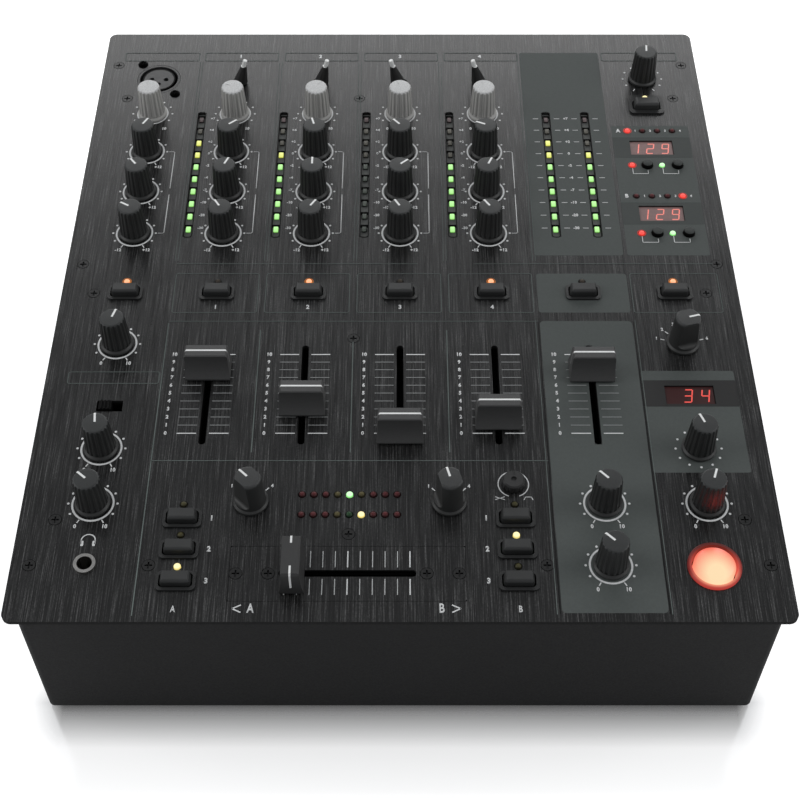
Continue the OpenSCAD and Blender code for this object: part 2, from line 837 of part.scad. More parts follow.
module monitor_mix_knob() { at(mon_mix_xy) fluted_knob(-6, black); }
module monitor_level_knob() { at(mon_level_xy) fluted_knob(-49, black); }
module balance_knob() { at(balance_xy) fluted_knob(-43, black); }
module booth_knob() { at(booth_xy) fluted_knob(-45, black); }
module parameter_knob() { at(param_xy) fluted_knob(-21, black); }
module effect_level_knob() { at(fx_level_xy) fluted_knob(19, black); }
module assign_a_knob() { at(assign_a_xy) flatted_knob(-45); }
module assign_b_knob() { at(assign_b_xy) flatted_knob(-15); }
module source_knob() { at(source_xy) flatted_knob(75); }
module curve_knob() { at(curve_xy) trim_knob(); }

// ---------- toggles ----------

lever_lean = 14;
lever_pivot = -4;
lever_h = 16.2;
lever_tip = lever_h - lever_pivot;
stem_r = 1.2;
stem_top = 11;

// A toggle's lever: a thin stem with a tapered cap pushed over it, leaning to the side given
module lever(side) {
  translate([0, 0, lever_pivot])
    rotate([0, side * lever_lean, 0]) {
      color("silver") translate([0, 0, -3]) cylinder(r = stem_r, h = stem_top + 3 - end_gap);
      color([0.08, 0.08, 0.08])
        rotate_extrude()
          polygon([
            [0, stem_top], [stem_r + 0.02, stem_top], [stem_r + 0.02, 5.7], [3.3, 5.7],
            [3.6, 6], [3.6, 6.5], [1.5, lever_tip - 4.1], [1.15, lever_tip - 3.9],
            [1.15, lever_tip - 0.25], [0.9, lever_tip], [0, lever_tip]
          ]);
    }
}

module ch1_input_lever() { at([ch_x[0], toggle_y]) lever(1); }
module ch2_input_lever() { at([ch_x[1], toggle_y]) lever(1); }
module ch3_input_lever() { at([ch_x[2], toggle_y]) lever(-1); }
module ch4_input_lever() { at([ch_x[3], toggle_y]) lever(-1); }

// ---------- faders ----------

cap_foot = 1;
foot_rise = 0.8;
blade_w = 1.2;
blade_d = 4;
blade_top = 4.5;

// Section of a cap along its travel. Each hollow face is an arc through the cap's foot and the
// edge of its ridge, sag deep; land is half the ridge's width.
module cap_section(depth, land, sag) {
  foot = [depth / 2, cap_foot + foot_rise];
  ridge = [land, cap_h - 0.5];
  chord = norm(ridge - foot);
  arc_r = chord * chord / (8 * sag) + sag / 2;
  normal = [ridge[1] - foot[1], foot[0] - ridge[0]] / chord;
  centre = (foot + ridge) / 2 + normal * (arc_r - sag);
  difference() {
    polygon([
      [-foot[0], cap_foot], [foot[0], cap_foot], foot, ridge,
      [land - 0.5, cap_h - 0.1], [0, cap_h], [0.5 - land, cap_h - 0.1],
      [-ridge[0], ridge[1]], [-foot[0], foot[1]]
    ]);
    for (s = [-1, 1])
      translate([s * centre[0], centre[1]]) circle(r = arc_r, $fn = 96);
  }
}

module cap_side() {
  polygon([
    [-cap_w / 2, 0], [cap_w / 2, 0], [cap_w / 2 - 0.65, cap_h - 1.1],
    [cap_w / 2 - 1.5, cap_h + 0.1], [1.5 - cap_w / 2, cap_h + 0.1], [0.65 - cap_w / 2, cap_h - 1.1]
  ]);
}

// A fader cap with its ridge across the travel, which is along Y
module fader_cap(depth, land, sag) {
  color([0.14, 0.14, 0.14])
    difference() {
      intersection() {
        rotate([90, 0, 90])
          translate([0, 0, -cap_w]) linear_extrude(2 * cap_w) cap_section(depth, land, sag);
        rotate([90, 0, 0]) translate([0, 0, -depth]) linear_extrude(2 * depth) cap_side();
      }
      // Hollow underneath, round the boss that is slotted for the lever
      difference() {
        block(cap_w - 4, depth - 6, 6);
        block(5, 5, 7);
      }
      block(blade_w + 0.04, blade_d + 0.04, blade_top);
    }
  color("silver")
    translate([0, 0, board_top + 3])
      block(blade_w, blade_d, blade_top - end_gap - board_top - 3);
}

function set_y(i) = fader_zero_y + fader_travel * fader_set[i] / 10;

module ch1_fader() { at([fader_x[0], set_y(0)]) fader_cap(cap_d, 3.4, 0.9); }
module ch2_fader() { at([fader_x[1], set_y(1)]) fader_cap(cap_d, 3.4, 0.9); }
module ch3_fader() { at([fader_x[2], set_y(2)]) fader_cap(cap_d, 3.4, 0.9); }
module ch4_fader() { at([fader_x[3], set_y(3)]) fader_cap(cap_d, 3.4, 0.9); }
module main_fader() { at([fader_x[4], set_y(4)]) fader_cap(cap_d, 3.4, 0.9); }

// The crossfader stands at the left end of its travel
module crossfader() {
  at([xfade_xy[0] - fader_travel / 2, xfade_xy[1]])
    rotate([0, 0, 90]) fader_cap(xcap_d, 3.8, 0.3);
}

module mode_slider() {
  color([0.05, 0.05, 0.05])
    at([mode_xy[0] - 2, mode_xy[1]]) {
      translate([0, 0, board_top + 6]) block(5.6, 4.8, 7);
      for (i = [-1:1])
        translate([1.6 * i, 0, 0]) block(0.7, 4.8, 1.5);
    }
}

rocker_tilt = 8;

// The mains rocker: a shallow V-shaped key on a cross pin, its lower half pressed in
module power_rocker() {
  color([0.06, 0.06, 0.06])
    translate([rocker_x, rear_y + 0.2, inlet_z]) rotate([-rocker_tilt, 0, 0]) {
      rotate([0, 90, 0]) translate([0, 0, -5.2]) linear_extrude(10.4)
        polygon([[-7.8, -2.6], [7.8, -2.6], [7.8, 2.4], [0, 1.3], [-7.8, 2.4]]);
    }
}

// ---------- push buttons ----------

front_r = 1.4;

// A button key w by d, with round corners and its front edge rolled over
module key_cap(w, d) {
  intersection() {
    translate([0, 0, -4]) linear_extrude(12) rounded(w, d, 1.4);
    rotate([90, 0, 0]) translate([0, 0, -10]) linear_extrude(20) {
      polygon([
        [-w / 2, -3], [w / 2, -3], [w / 2, 1.2], [w / 2 - 0.5, button_h - 0.7],
        [w / 2 - 1, button_h - 0.1], [w / 2 - 1.5, button_h], [1.5 - w / 2, button_h],
        [1 - w / 2, button_h - 0.1], [0.5 - w / 2, button_h - 0.7], [-w / 2, 1.2]
      ]);
    }
    rotate([90, 0, 90]) translate([0, 0, -10]) linear_extrude(20) {
      polygon([
        [-d / 2, -3], [d / 2, -3], [d / 2, button_h - 0.6], [d / 2 - 0.5, button_h],
        [front_r - d / 2, button_h], [-d / 2, button_h - front_r]
      ]);
      translate([front_r - d / 2, button_h - front_r]) circle(front_r);
    }
  }
  translate([0, 0, -7.2]) cylinder(r = 1.6, h = 5);
}

module cue_buttons() {
  color([0.16, 0.16, 0.16])
    for (p = bar_xy)
      at(p) key_cap(button_w, button_d);
  color([0.16, 0.16, 0.16]) at(wide_key_xy) key_cap(wide_key[0], wide_key[1]);
}

module kill_buttons() {
  color([0.16, 0.16, 0.16])
    for (p = kill_xy)
      at(p) key_cap(button_w, button_d);
}

module beat_buttons() {
  color([0.08, 0.08, 0.08])
    for (p = beat_xy)
      at(p) {
        rotate_extrude()
          polygon([[0, -4], [2.7, -4], [2.7, 1.5], [2.5, 2.1], [2, 2.5], [1.2, 2.7], [0, 2.75]]);
        translate([0, 0, -7.2]) cylinder(r = 1.6, h = 5);
      }
}

module effect_button() {
  color([1, 0.45, 0.3])
    at(effect_xy) {
      rotate_extrude()
        intersection() {
          translate([0, dome_top - 24]) circle(r = 24, $fn = 96);
          polygon([[0, -4], [dome_r, -4], [dome_r, 0.9], [dome_r - 1.1, 2.6], [0, 8]]);
        }
      translate([0, 0, -6.9]) cylinder(r = 1.6, h = 5);
    }
}

top_plate();
crossfader_plate();
bottom_case();
circuit_boards();
control_bodies();
power_supply();
indicator_lamps();
display_windows();
button_bezels();
sockets();
screws();
rubber_feet();
mic_level_knob();
mic_high_knob();
mic_mid_knob();
mic_low_knob();
ch1_gain_knob();
ch1_high_knob();
ch1_mid_knob();
ch1_low_knob();
ch2_gain_knob();
ch2_high_knob();
ch2_mid_knob();
ch2_low_knob();
ch3_gain_knob();
ch3_high_knob();
ch3_mid_knob();
ch3_low_knob();
ch4_gain_knob();
ch4_high_knob();
ch4_mid_knob();
ch4_low_knob();
width_knob();
talkover_knob();
monitor_mix_knob();
monitor_level_knob();
assign_a_knob();
assign_b_knob();
curve_knob();
balance_knob();
booth_knob();
source_knob();
parameter_knob();
effect_level_knob();
ch1_input_lever();
ch2_input_lever();
ch3_input_lever();
ch4_input_lever();
ch1_fader();
ch2_fader();
ch3_fader();
ch4_fader();
main_fader();
crossfader();
mode_slider();
power_rocker();
cue_buttons();
kill_buttons();
beat_buttons();
effect_button();
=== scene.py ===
"""Dresses a four-channel mixer: prints its control plate, lights its lamps and finishes its parts."""

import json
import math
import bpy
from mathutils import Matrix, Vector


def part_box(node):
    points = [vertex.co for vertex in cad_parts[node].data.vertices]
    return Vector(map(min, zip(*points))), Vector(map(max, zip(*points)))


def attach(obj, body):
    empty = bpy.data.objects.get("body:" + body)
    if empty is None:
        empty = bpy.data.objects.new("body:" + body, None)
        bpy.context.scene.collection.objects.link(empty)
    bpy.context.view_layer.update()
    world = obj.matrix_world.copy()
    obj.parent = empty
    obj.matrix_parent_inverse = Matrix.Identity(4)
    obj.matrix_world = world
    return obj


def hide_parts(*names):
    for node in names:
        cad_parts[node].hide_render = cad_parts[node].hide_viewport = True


bl_info = {
    "name": "Club mixer dressing",
    "version": (1, 0, 0),
    "blender": (4, 5, 0),
    "location": "View3D > Sidebar > Mixer",
    "description": "Prints the control plate of a club mixer, lights its lamps and finishes its parts",
    "category": "Object",
}

import bmesh
import bpy
from bpy.props import FloatProperty, FloatVectorProperty, PointerProperty
from bpy.types import Operator, Panel, PropertyGroup
from mathutils import Matrix, Vector

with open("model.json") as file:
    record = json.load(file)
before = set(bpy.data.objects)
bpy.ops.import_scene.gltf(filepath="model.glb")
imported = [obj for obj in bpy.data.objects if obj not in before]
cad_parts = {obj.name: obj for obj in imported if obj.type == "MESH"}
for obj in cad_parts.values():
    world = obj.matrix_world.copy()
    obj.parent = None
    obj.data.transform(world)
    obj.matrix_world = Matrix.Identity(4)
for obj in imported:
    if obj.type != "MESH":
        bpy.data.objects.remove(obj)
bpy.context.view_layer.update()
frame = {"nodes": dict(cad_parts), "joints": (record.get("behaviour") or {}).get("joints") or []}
JOINTS = {joint["child"]: joint for joint in frame["joints"]}

MM = 0.001
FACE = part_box("top_plate")[1].z / MM  # upper face of the control plate, in millimetres


def place_of(knob):
    """The turning point of a knob, in millimetres."""
    x, y, _ = JOINTS[f"{knob}_knob"]["pos_m"]
    return x / MM, y / MM


def turn_of(knob):
    """How far clockwise a pointer stands, in degrees. The middle of its travel is at the back."""
    return PARAMETER_TURN if knob == "parameter" else sum(JOINTS[f"{knob}_knob"]["range_deg"]) / 2


def middle_of(node):
    """The middle of a node's box, in millimetres."""
    low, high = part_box(node)
    return (low.x + high.x) / 2 / MM, (low.y + high.y) / 2 / MM


# Columns and rows, in millimetres from the middle of the plate
CHANNELS = ("ch1", "ch2", "ch3", "ch4")
CHANNEL_X = [place_of(f"{c}_gain")[0] for c in CHANNELS]
MIC_X = place_of("mic_level")[0]
COLUMN_X = (MIC_X, *CHANNEL_X)
COLUMN_PITCH = -MIC_X / 3
MAIN_X = place_of("balance")[0]
EFFECT_X = place_of("effect_level")[0]
GAIN_Y = place_of("ch1_gain")[1]
BANDS = ("high", "mid", "low")
TONE_Y = [place_of(f"ch1_{band}")[1] for band in BANDS]
KEY_ROW_Y = -7.7
WIDTH_KEY = (130, 124.7)
ROUND_KEY_Y = (79.8, 31.5)
KILL_X = (-91.4, 48.5)
KILL_Y = (-135.5, -150.8, -166.1)
LAMP_BEHIND = 7
METER_X = (-104, -61, -17.6, 25.8, 76.5, 96.8)
METER_MIDDLE, METER_PITCH = 74.55, 8.9
METER_Y = [35 + METER_PITCH * i for i in range(10)]
METER_MARKS = ("-30", "-20", "-10", "-7", "-4", "-2", "0", "+2", "+4", "+7")
DISPLAYS = ((129.6, 93, "129"), (129.6, 45.3, "129"), (129.8, -69.3, "34"))
DISPLAY_LAMPS = ((105.7, 0), (57.4, 3))  # how far back the lamps under a display lie, and which is lit
EFFECT_KEY = middle_of("effect_button")
PHONES = (-129.5, -158.1)
MICROPHONE = (-129.5, 147)

FADERS = (*(f"{c}_fader" for c in CHANNELS), "main_fader")
KNOB_H = 18.7
FLATTED_KNOBS = ("assign_a", "assign_b", "source")
LEVEL_KNOBS = ("talkover", "monitor_mix", "monitor_level", "balance", "booth", "effect_level")
GREY_KNOBS = ("mic_level", *(f"{c}_gain" for c in CHANNELS))
PARAMETER_TURN = -21  # in degrees, as this knob has no stops


# --- modelling by hand ---


def clear():
    """Leaves edit mode and lets go of everything."""
    if bpy.context.object and bpy.context.object.mode != "OBJECT":
        bpy.ops.object.mode_set(mode="OBJECT")
    bpy.ops.object.select_all(action="DESELECT")


def hold(*objects):
    """Selects these objects, the first one active."""
    clear()
    for obj in objects:
        obj.select_set(True)
    bpy.context.view_layer.objects.active = objects[0]


def begin(primitive, stretch=(1, 1, 1), at=(0, 0, 0), **options):
    """Adds a primitive, stretched and set down in millimetres."""
    clear()
    if primitive in ("cube", "plane"):
        options["size"] = 1
    getattr(bpy.ops.mesh, f"primitive_{primitive}_add")(**options)
    obj = bpy.context.object
    obj.scale = [s * MM for s in stretch]
    obj.location = [p * MM for p in at]
    bpy.ops.object.transform_apply(location=True, rotation=True, scale=True)
    return obj


def edit(obj, kind="FACE", everything=True):
    """Opens obj in edit mode with everything or nothing selected."""
    hold(obj)
    bpy.ops.object.mode_set(mode="EDIT")
    bpy.ops.mesh.select_mode(type=kind)
    bpy.ops.mesh.select_all(action="SELECT" if everything else "DESELECT")


def pick(obj, test, kind="faces"):
    """Selects the faces whose middle and normal pass a test, or the edges whose ends do."""
    mesh = bmesh.from_edit_mesh(obj.data)
    mesh.normal_update()
    for part in (*mesh.faces, *mesh.edges, *mesh.verts):
        part.select_set(False)
    for part in getattr(mesh, kind):
        if kind == "faces":
            measures = part.calc_center_median() / MM, part.normal
        else:
            measures = [end.co / MM for end in part.verts]
        if test(*measures):
            part.select_set(True)
    bmesh.update_edit_mesh(obj.data)


def extrude(x, y, z):
    """Draws what is selected out of the mesh, in millimetres."""
    bpy.ops.mesh.extrude_region_move(TRANSFORM_OT_translate={"value": Vector((x, y, z)) * MM})


def modify(obj, kind, **settings):
    """Adds a modifier, sets it and applies it."""
    hold(obj)
    modifier = obj.modifiers.new(kind.lower(), kind)
    for key, value in settings.items():
        setattr(modifier, key, value)
    bpy.ops.object.modifier_apply(modifier=modifier.name)


def move(obj, x=0.0, y=0.0, z=0.0, turn=0.0, size=1.0):
    """Turns the mesh in degrees about Z and moves it; the object stays at the origin."""
    moved = Matrix.Translation(Vector((x, y, z)) * MM)
    obj.data.transform(moved @ Matrix.Rotation(math.radians(turn), 4, "Z") @ Matrix.Scale(size, 4))
    return obj


def copy_of(pattern, x=0.0, y=0.0, **turned):
    """A copy with its own mesh, moved."""
    twin = pattern.copy()
    twin.data = pattern.data.copy()
    bpy.context.collection.objects.link(twin)
    return move(twin, x, y, **turned)


def discard(*patterns):
    for pattern in patterns:
        bpy.data.objects.remove(pattern)


def join(name, objects):
    hold(*objects)
    if len(objects) > 1:
        bpy.ops.object.join()
    obj = bpy.context.object
    obj.name = name
    obj.data.name = name
    return obj


def seat(name, objects, finish, body="body", stands_for=()):
    """Joins finished pieces into one, gives it its finish and hangs it on its body."""
    obj = join(name, objects)
    obj.data.materials.clear()
    obj.data.materials.append(finish)
    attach(obj, body)
    if stands_for:
        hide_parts(*stands_for)


# --- flat shapes for print ---


def ribbon(points, width, thickness):
    """A strip bent along points given as x and z; its first stretch lies level."""
    (x0, level), (x1, _) = points[:2]
    strip = begin("plane", (x1 - x0, width, 1), ((x0 + x1) / 2, 0, level))
    edit(strip, "EDGE", False)
    far, low = x1, level
    for x, z in points[2:]:
        pick(strip, lambda a, b: min(a.x, b.x) > far - 0.01, "edges")
        extrude(x - far, 0, z - low)
        far, low = x, z
    modify(strip, "SOLIDIFY", thickness=thickness * MM, offset=0)
    return strip


def polar(radius, degrees):
    return radius * math.cos(math.radians(degrees)), radius * math.sin(math.radians(degrees))


def bar(width, depth, x=0.0, y=0.0, turn=0.0):
    """A flat bar."""
    return move(begin("plane", (width, depth, 1)), x, y, turn=turn)


def stroke(x0, y0, x1, y1, width):
    """A straight line between two points."""
    length = math.hypot(x1 - x0, y1 - y0)
    turn = math.degrees(math.atan2(y1 - y0, x1 - x0))
    return bar(length + width, width, (x0 + x1) / 2, (y0 + y1) / 2, turn)


def trace(width, *points):
    """Straight lines from each point to the next."""
    return [stroke(*start, *end, width) for start, end in zip(points, points[1:])]


def disc(radius, x=0.0, y=0.0, sides=12):
    return move(begin("circle", (radius, radius, 1), vertices=sides, radius=1, fill_type="NGON"), x, y)


def rounded_bar(x0, y0, x1, y1, radius):
    """A filled rectangle with round corners."""
    flat = begin("plane", (x1 - x0, y1 - y0, 1))
    edit(flat, "VERT")
    bpy.ops.mesh.bevel(offset=radius * MM, affect="VERTICES", segments=5)
    clear()
    return move(flat, (x0 + x1) / 2, (y0 + y1) / 2)


def rim_of(flat, width):
    """Takes the middle out of a flat shape."""
    edit(flat)
    bpy.ops.mesh.inset(thickness=width * MM)
    bpy.ops.mesh.delete(type="FACE")
    clear()
    return flat


def ring(radius, width, start=0.0, end=360.0, sides=72):
    """A flat ring, or the part of it between two angles."""
    flat = rim_of(disc(radius + width / 2, sides=sides), width)
    if end - start < 360:
        edit(flat, everything=False)
        pick(flat, lambda c, n: not start <= math.degrees(math.atan2(c.y, c.x)) % 360 <= end)
        bpy.ops.mesh.delete(type="FACE")
        clear()
    return flat


LETTERS = {}


def written(text, squeeze, weight, size):
    """Figures as a flat mesh, set in a size given in metres."""
    clear()
    bpy.ops.object.text_add()
    words = bpy.context.object.data
    words.body = text
    words.size = size
    words.align_x = "CENTER"
    words.align_y = "CENTER"
    words.resolution_u = 3
    words.offset = weight * MM
    words.space_character = 1.1
    bpy.ops.object.convert(target="MESH")
    obj = bpy.context.object
    obj.data.transform(Matrix.Diagonal((squeeze, 1, 1, 1)))
    return obj


def lettering(text, x, y, height, squeeze=0.86, weight=0.065):
    """Figures of a given height in millimetres, centred on a point."""
    kind = (text, squeeze, weight)
    if kind not in LETTERS:
        nought = written("0", 0.86, 0.065, MM)
        LETTERS[kind] = written(*kind, MM * MM / nought.dimensions.y)
        discard(nought)
    return copy_of(LETTERS[kind], x, y, size=height)


def printed(name, shapes, finish, level=0.1):
    """Joins flat shapes into one print, at its level over the plate."""
    print_settings = bpy.context.scene.mixer_print
    layer = move(join(name, shapes), z=FACE + level)
    modify(layer, "SOLIDIFY", thickness=print_settings.thickness, offset=1)
    seat(name, [layer], finish)


# --- shader maths ---


def sign(operation, swapped=False):
    """What one of Python's signs does with a signal and a signal or number."""

    def result(self, other):
        pair = (other, self) if swapped else (self, other)
        return self.finish.node("Math", dict(enumerate(pair)), operation=operation)

    return result


class Signal:
    """A shader socket that Python's signs do maths on."""

    __add__ = __radd__ = sign("ADD")
    __sub__, __rsub__ = sign("SUBTRACT"), sign("SUBTRACT", True)
    __mul__ = __rmul__ = sign("MULTIPLY")
    __pow__ = sign("POWER")
    __gt__, __lt__ = sign("GREATER_THAN"), sign("LESS_THAN")

    def __init__(self, finish, socket):
        self.finish = finish
        self.socket = socket


class Finish:
    """One material or world, put together node by node."""

    def __init__(self, name, library="materials"):
        self.material = getattr(bpy.data, library).new(name)
        self.material.use_nodes = True
        self.tree = self.material.node_tree
        self.tree.nodes.clear()

    def node(self, kind, inputs=(), out=0, **settings):
        made = self.tree.nodes.new("ShaderNode" + kind)
        for key, value in settings.items():
            setattr(made, key, value)
        for key, value in dict(inputs).items():
            if isinstance(value, Signal):
                self.tree.links.new(value.socket, made.inputs[key])
            elif isinstance(value, tuple) and len(made.inputs[key].default_value) == 4:
                made.inputs[key].default_value = (*value, 1)
            else:
                made.inputs[key].default_value = value
        return Signal(self, made.outputs[out]) if made.outputs else None

    def where(self, axis=None):
        """The point on the piece, or one of its three measures, in metres."""
        point = self.node("TexCoord", out=3)
        return self.node("SeparateXYZ", {0: point}, "XYZ".index(axis)) if axis else point

    def from_point(self, x, y):
        """How far to the right and to the back of a point given in millimetres."""
        return self.where("X") - x * MM, self.where("Y") - y * MM

    def facing(self):
        """How far the surface faces up, from -1 to 1."""
        return self.node("SeparateXYZ", {0: self.node("TexCoord", out=1)}, 2)

    def repeated(self, value, half):
        """A measure that starts again from -half each time it reaches half."""
        return self.node("Math", {0: value, 1: half, 2: -half}, operation="WRAP")

    def speckle(self, waves, detail=2.0, roughness=0.5):
        """Noise with a number of waves in each metre, one number or one each for X, Y and Z."""
        stretch = waves if isinstance(waves, tuple) else (waves, waves, waves)
        point = self.node("Mapping", {"Vector": self.where(), "Scale": stretch})
        return self.node("TexNoise", {"Vector": point, "Scale": 1, "Detail": detail, "Roughness": roughness})

    def spread(self, value, low, high, to_low=0.0, to_high=1.0):
        """Stretches a range of a signal over another and clamps it."""
        return self.node("MapRange", {0: value, 1: low, 2: high, 3: to_low, 4: to_high}, clamp=True)

    def vary(self, noise, low=0.0, high=1.0):
        """Noise that runs from low to high."""
        return self.spread(noise, 0.3, 0.7, low, high)

    def mix(self, share, first, second):
        """Two colours mixed."""
        return self.node("Mix", {0: share, 6: first, 7: second}, 2, data_type="RGBA")

    def clouded(self, noise, colour, dark=0.85, light=1.15):
        """A colour that turns a little darker and lighter."""
        return self.mix(self.vary(noise), shaded(colour, dark), shaded(colour, light))

    def bump(self, height, strength=0.12, distance=0.0001):
        return self.node("Bump", {"Height": height, "Strength": strength, "Distance": distance})

    def surface(self, colour, rough, gloss=0.5, **others):
        """The principled shader. Others are its sockets, with spaces as underscores."""
        inputs = {"Base Color": colour, "Roughness": rough, "Specular IOR Level": gloss}
        inputs.update((key.replace("_", " "), value) for key, value in others.items())
        self.node("OutputMaterial", {"Surface": self.node("BsdfPrincipled", inputs)})
        return self.material


def shaded(colour, factor):
    """The same colour, darker or lighter."""
    return tuple(part * factor for part in colour)


def grey(shade):
    return (shade, shade, shade)


def paint_node(node, finish):
    """Gives a CAD node another finish."""
    obj = frame["nodes"][node]
    if not obj.material_slots:
        obj.data.materials.append(finish)
    for slot in obj.material_slots:
        slot.material = finish


def ink(name, colour, worn, gloss=0.2, front=1.0):
    """Screen-printed ink, a little thin in places, with its own shade towards the front."""
    if name in bpy.data.materials:
        return bpy.data.materials[name]
    f = Finish(name)
    thin = f.speckle(900, 3, 0.6)
    thickness = f.spread(thin, 0.35, 0.65)
    base = f.mix(thickness, shaded(colour, 1 - worn), colour)
    # painted light: towards the front of the plate the ink is lightened by the front factor
    near = f.mix(thickness, shaded(colour, front * (1 - worn)), shaded(colour, front))
    base = f.mix(f.spread(f.where("Y"), -0.17, -0.02), near, base)
    return f.surface(base, 0.62, gloss, Normal=f.bump(thin, 0.1, 0.00005))


def white_ink():
    return ink("white_ink", tuple(bpy.context.scene.mixer_print.white), 0.12)


def white_inlay():
    return ink("white_inlay", (0.86, 0.87, 0.86), 0.05)


def plastic(name, colour, rough, grain_bump=0.12, gloss=0.5):
    """Moulded plastic with a fine spark-eroded grain."""
    f = Finish(name)
    grain = f.speckle(1700, 2, 0.6)
    rough = f.vary(grain, rough - 0.05, rough + 0.06)
    return f.surface(f.clouded(f.speckle(70), colour), rough, gloss, Normal=f.bump(grain, grain_bump))


def two_tone(name, body, top, top_height, body_rough=0.5, top_rough=0.5, gloss=0.5, painted_groove_light=0):
    """Moulded plastic with its top in another shade, and its grooves paler by a factor."""
    f = Finish(name)
    grain = f.speckle(1500, 2, 0.6)
    # painted light: surfaces that face up count as top and take the top's shade
    height = f.where("Z") + (f.facing() * 0.9 + grain) * MM
    lit_top_mask = f.spread(height, (FACE + top_height + 0.4) * MM, (FACE + top_height + 0.8) * MM)
    shade = f.clouded(f.speckle(90), body)
    if painted_groove_light:
        # painted light: the flute valleys are painted paler to cancel the shade in them
        shade = f.mix(groove_depth(f), shade, shaded(body, painted_groove_light))
    lit_top_colour = f.mix(f.spread(grain, 0.35, 0.65), shaded(top, 0.82), shaded(top, 1.12))
    rough = f.spread(lit_top_mask, 0, 1, body_rough, top_rough) + (grain - 0.5) * 0.1
    return f.surface(f.mix(lit_top_mask, shade, lit_top_colour), rough, gloss, Normal=f.bump(grain))


def groove_depth(f):
    """How deep a point lies in a flute of a knob in the back row, from 0 to 1."""
    flutes_from, foot_radius, taper = FACE + 2.1, 6.7, 0.0572
    dx = f.repeated(f.where("X"), COLUMN_PITCH / 2 * MM)
    dy = f.where("Y") - GAIN_Y * MM
    outside = foot_radius * MM - (f.where("Z") - flutes_from * MM) * taper
    return f.spread(outside - (dx * dx + dy * dy) ** 0.5, 0.05 * MM, 0.5 * MM)


def glow(name, colour, strength, core):
    """A lit lens: pale where it faces up, coloured towards its edge."""
    f = Finish(name)
    pale = tuple(part * (1 - core) + core for part in colour)
    tint = f.mix(f.spread(f.facing(), 0.25, 0.75), shaded(colour, 0.75), pale)
    return f.surface(shaded(colour, 0.3), 0.3, Emission_Color=tint, Emission_Strength=strength)


def tinted_lens(name, colour):
    """Unlit coloured resin, darker towards its edge."""
    f = Finish(name)
    middle = f.clouded(f.speckle(700), colour, 0.8)
    # painted shade: the lens turns dark where it faces sideways
    base = f.mix(f.spread(f.facing(), 0.6, 0.95), shaded(colour, 0.25), middle)
    return f.surface(base, 0.45, 0.2)


# --- settings ---


def setting(name, description, default, **limits):
    """A property that holds one number, or three."""
    kind = FloatVectorProperty if isinstance(default, tuple) else FloatProperty
    return kind(name=name, description=description, default=default, **limits)


def colour_setting(*about):
    return setting(*about, subtype="COLOR", size=3, min=0, max=1)


def strength_setting(*about):
    return setting(*about, min=0, max=20)


class PrintSettings(PropertyGroup):
    """Colours of the plate and of what is printed on it."""

    plate: colour_setting("Plate", "Colour of the brushed plate", (0.0135, 0.0135, 0.0135))
    panel: colour_setting("Panels", "Colour of the printed grey panels", (0.073, 0.082, 0.079))
    line: colour_setting("Lines", "Colour of the thin dividing lines", (0.125, 0.144, 0.138))
    white: colour_setting("White ink", "Colour of scales and figures", (0.75, 0.76, 0.76))
    thickness: setting(
        "Thickness", "Thickness of one layer of print", 0.04 * MM, min=0.01 * MM, max=0.1 * MM, unit="LENGTH"
    )


class LampSettings(PropertyGroup):
    """Brightness of the lamps."""

    lamp: strength_setting("Lamps", "Strength of a lit lamp", 1.05)
    meter: strength_setting("Meters", "Strength of a lit meter bar", 0.88)
    digits: strength_setting("Digits", "Strength of the displays' figures", 0.68)
    key: strength_setting("Effect key", "Strength of the large lit key", 0.95)


class StageSettings(PropertyGroup):
    """Camera and light."""

    camera: setting("Camera", "Place of the camera", (0, -0.4822, 0.6057), unit="LENGTH")
    tilt: setting("Tilt", "Angle of the view below the horizon", math.radians(51.84), subtype="ANGLE")
    lens: setting("Lens", "Focal length on a 36 mm frame, in mm", 66.9)
    key: setting("Back light", "Power of the soft box behind", 7.6, unit="POWER")
    fill: setting("Side light", "Power of each soft box at the side", 5, unit="POWER")
    sky: setting("Sky", "Strength of the light all round", 0.36, min=0, max=2)


# --- case and plate ---


def brushed_metal(colour):
    """Dark metal brushed from front to back."""
    f = Finish("brushed_plate")
    fine = f.speckle((2600, 42, 60))
    broad = f.speckle((1100, 20, 20), 3, 0.6)
    grain = f.speckle((2300, 1300, 900), 1)
    streak = fine * 0.62 + broad * 0.18 + grain * 0.2
    brushed = f.mix(f.spread(streak, 0.417, 0.667) ** 2.6, shaded(colour, 0.55), shaded(colour, 8.2))
    # painted shade: faces that turn to the side are painted much darker, and rougher
    edge = f.spread(f.facing(), 0.3, 0.7, 1, 0)
    base = f.mix(edge, brushed, shaded(colour, 0.15))
    return f.surface(base, f.vary(broad, 0.25, 0.33) + edge * 0.6, 0.45, Normal=f.bump(fine, 0.25))


def powder_coat():
    """Fine-grained black paint."""
    f = Finish("painted_case")
    grain = f.speckle(1400, 2, 0.6)
    cloud = f.speckle(25, 3)
    base = f.mix(f.vary(cloud), (0.0036, 0.0036, 0.0038), (0.0056, 0.0056, 0.0058))
    return f.surface(base, f.vary(grain, 0.5, 0.62), 0.25, Normal=f.bump(grain, 0.18, 0.00015))


def screw_steel():
    """Blackened steel heads with dark rims, all black beside the microphone socket."""
    f = Finish("black_screws")
    x = f.where("X")
    domed = (x < -0.112) * (x > -0.142) * (f.where("Y") > 0.125)
    # painted shade: the rims, which face sideways, are painted darker than the tops of the heads
    head = f.spread(f.facing(), 0.9, 0.98) * (1 - domed)
    rough = f.vary(f.speckle(1700, 2, 0.6), 0.5, 0.6) - head * 0.2
    return f.surface(f.mix(head, grey(0.0015), grey(0.014)), rough, 0.4, Metallic=domed)


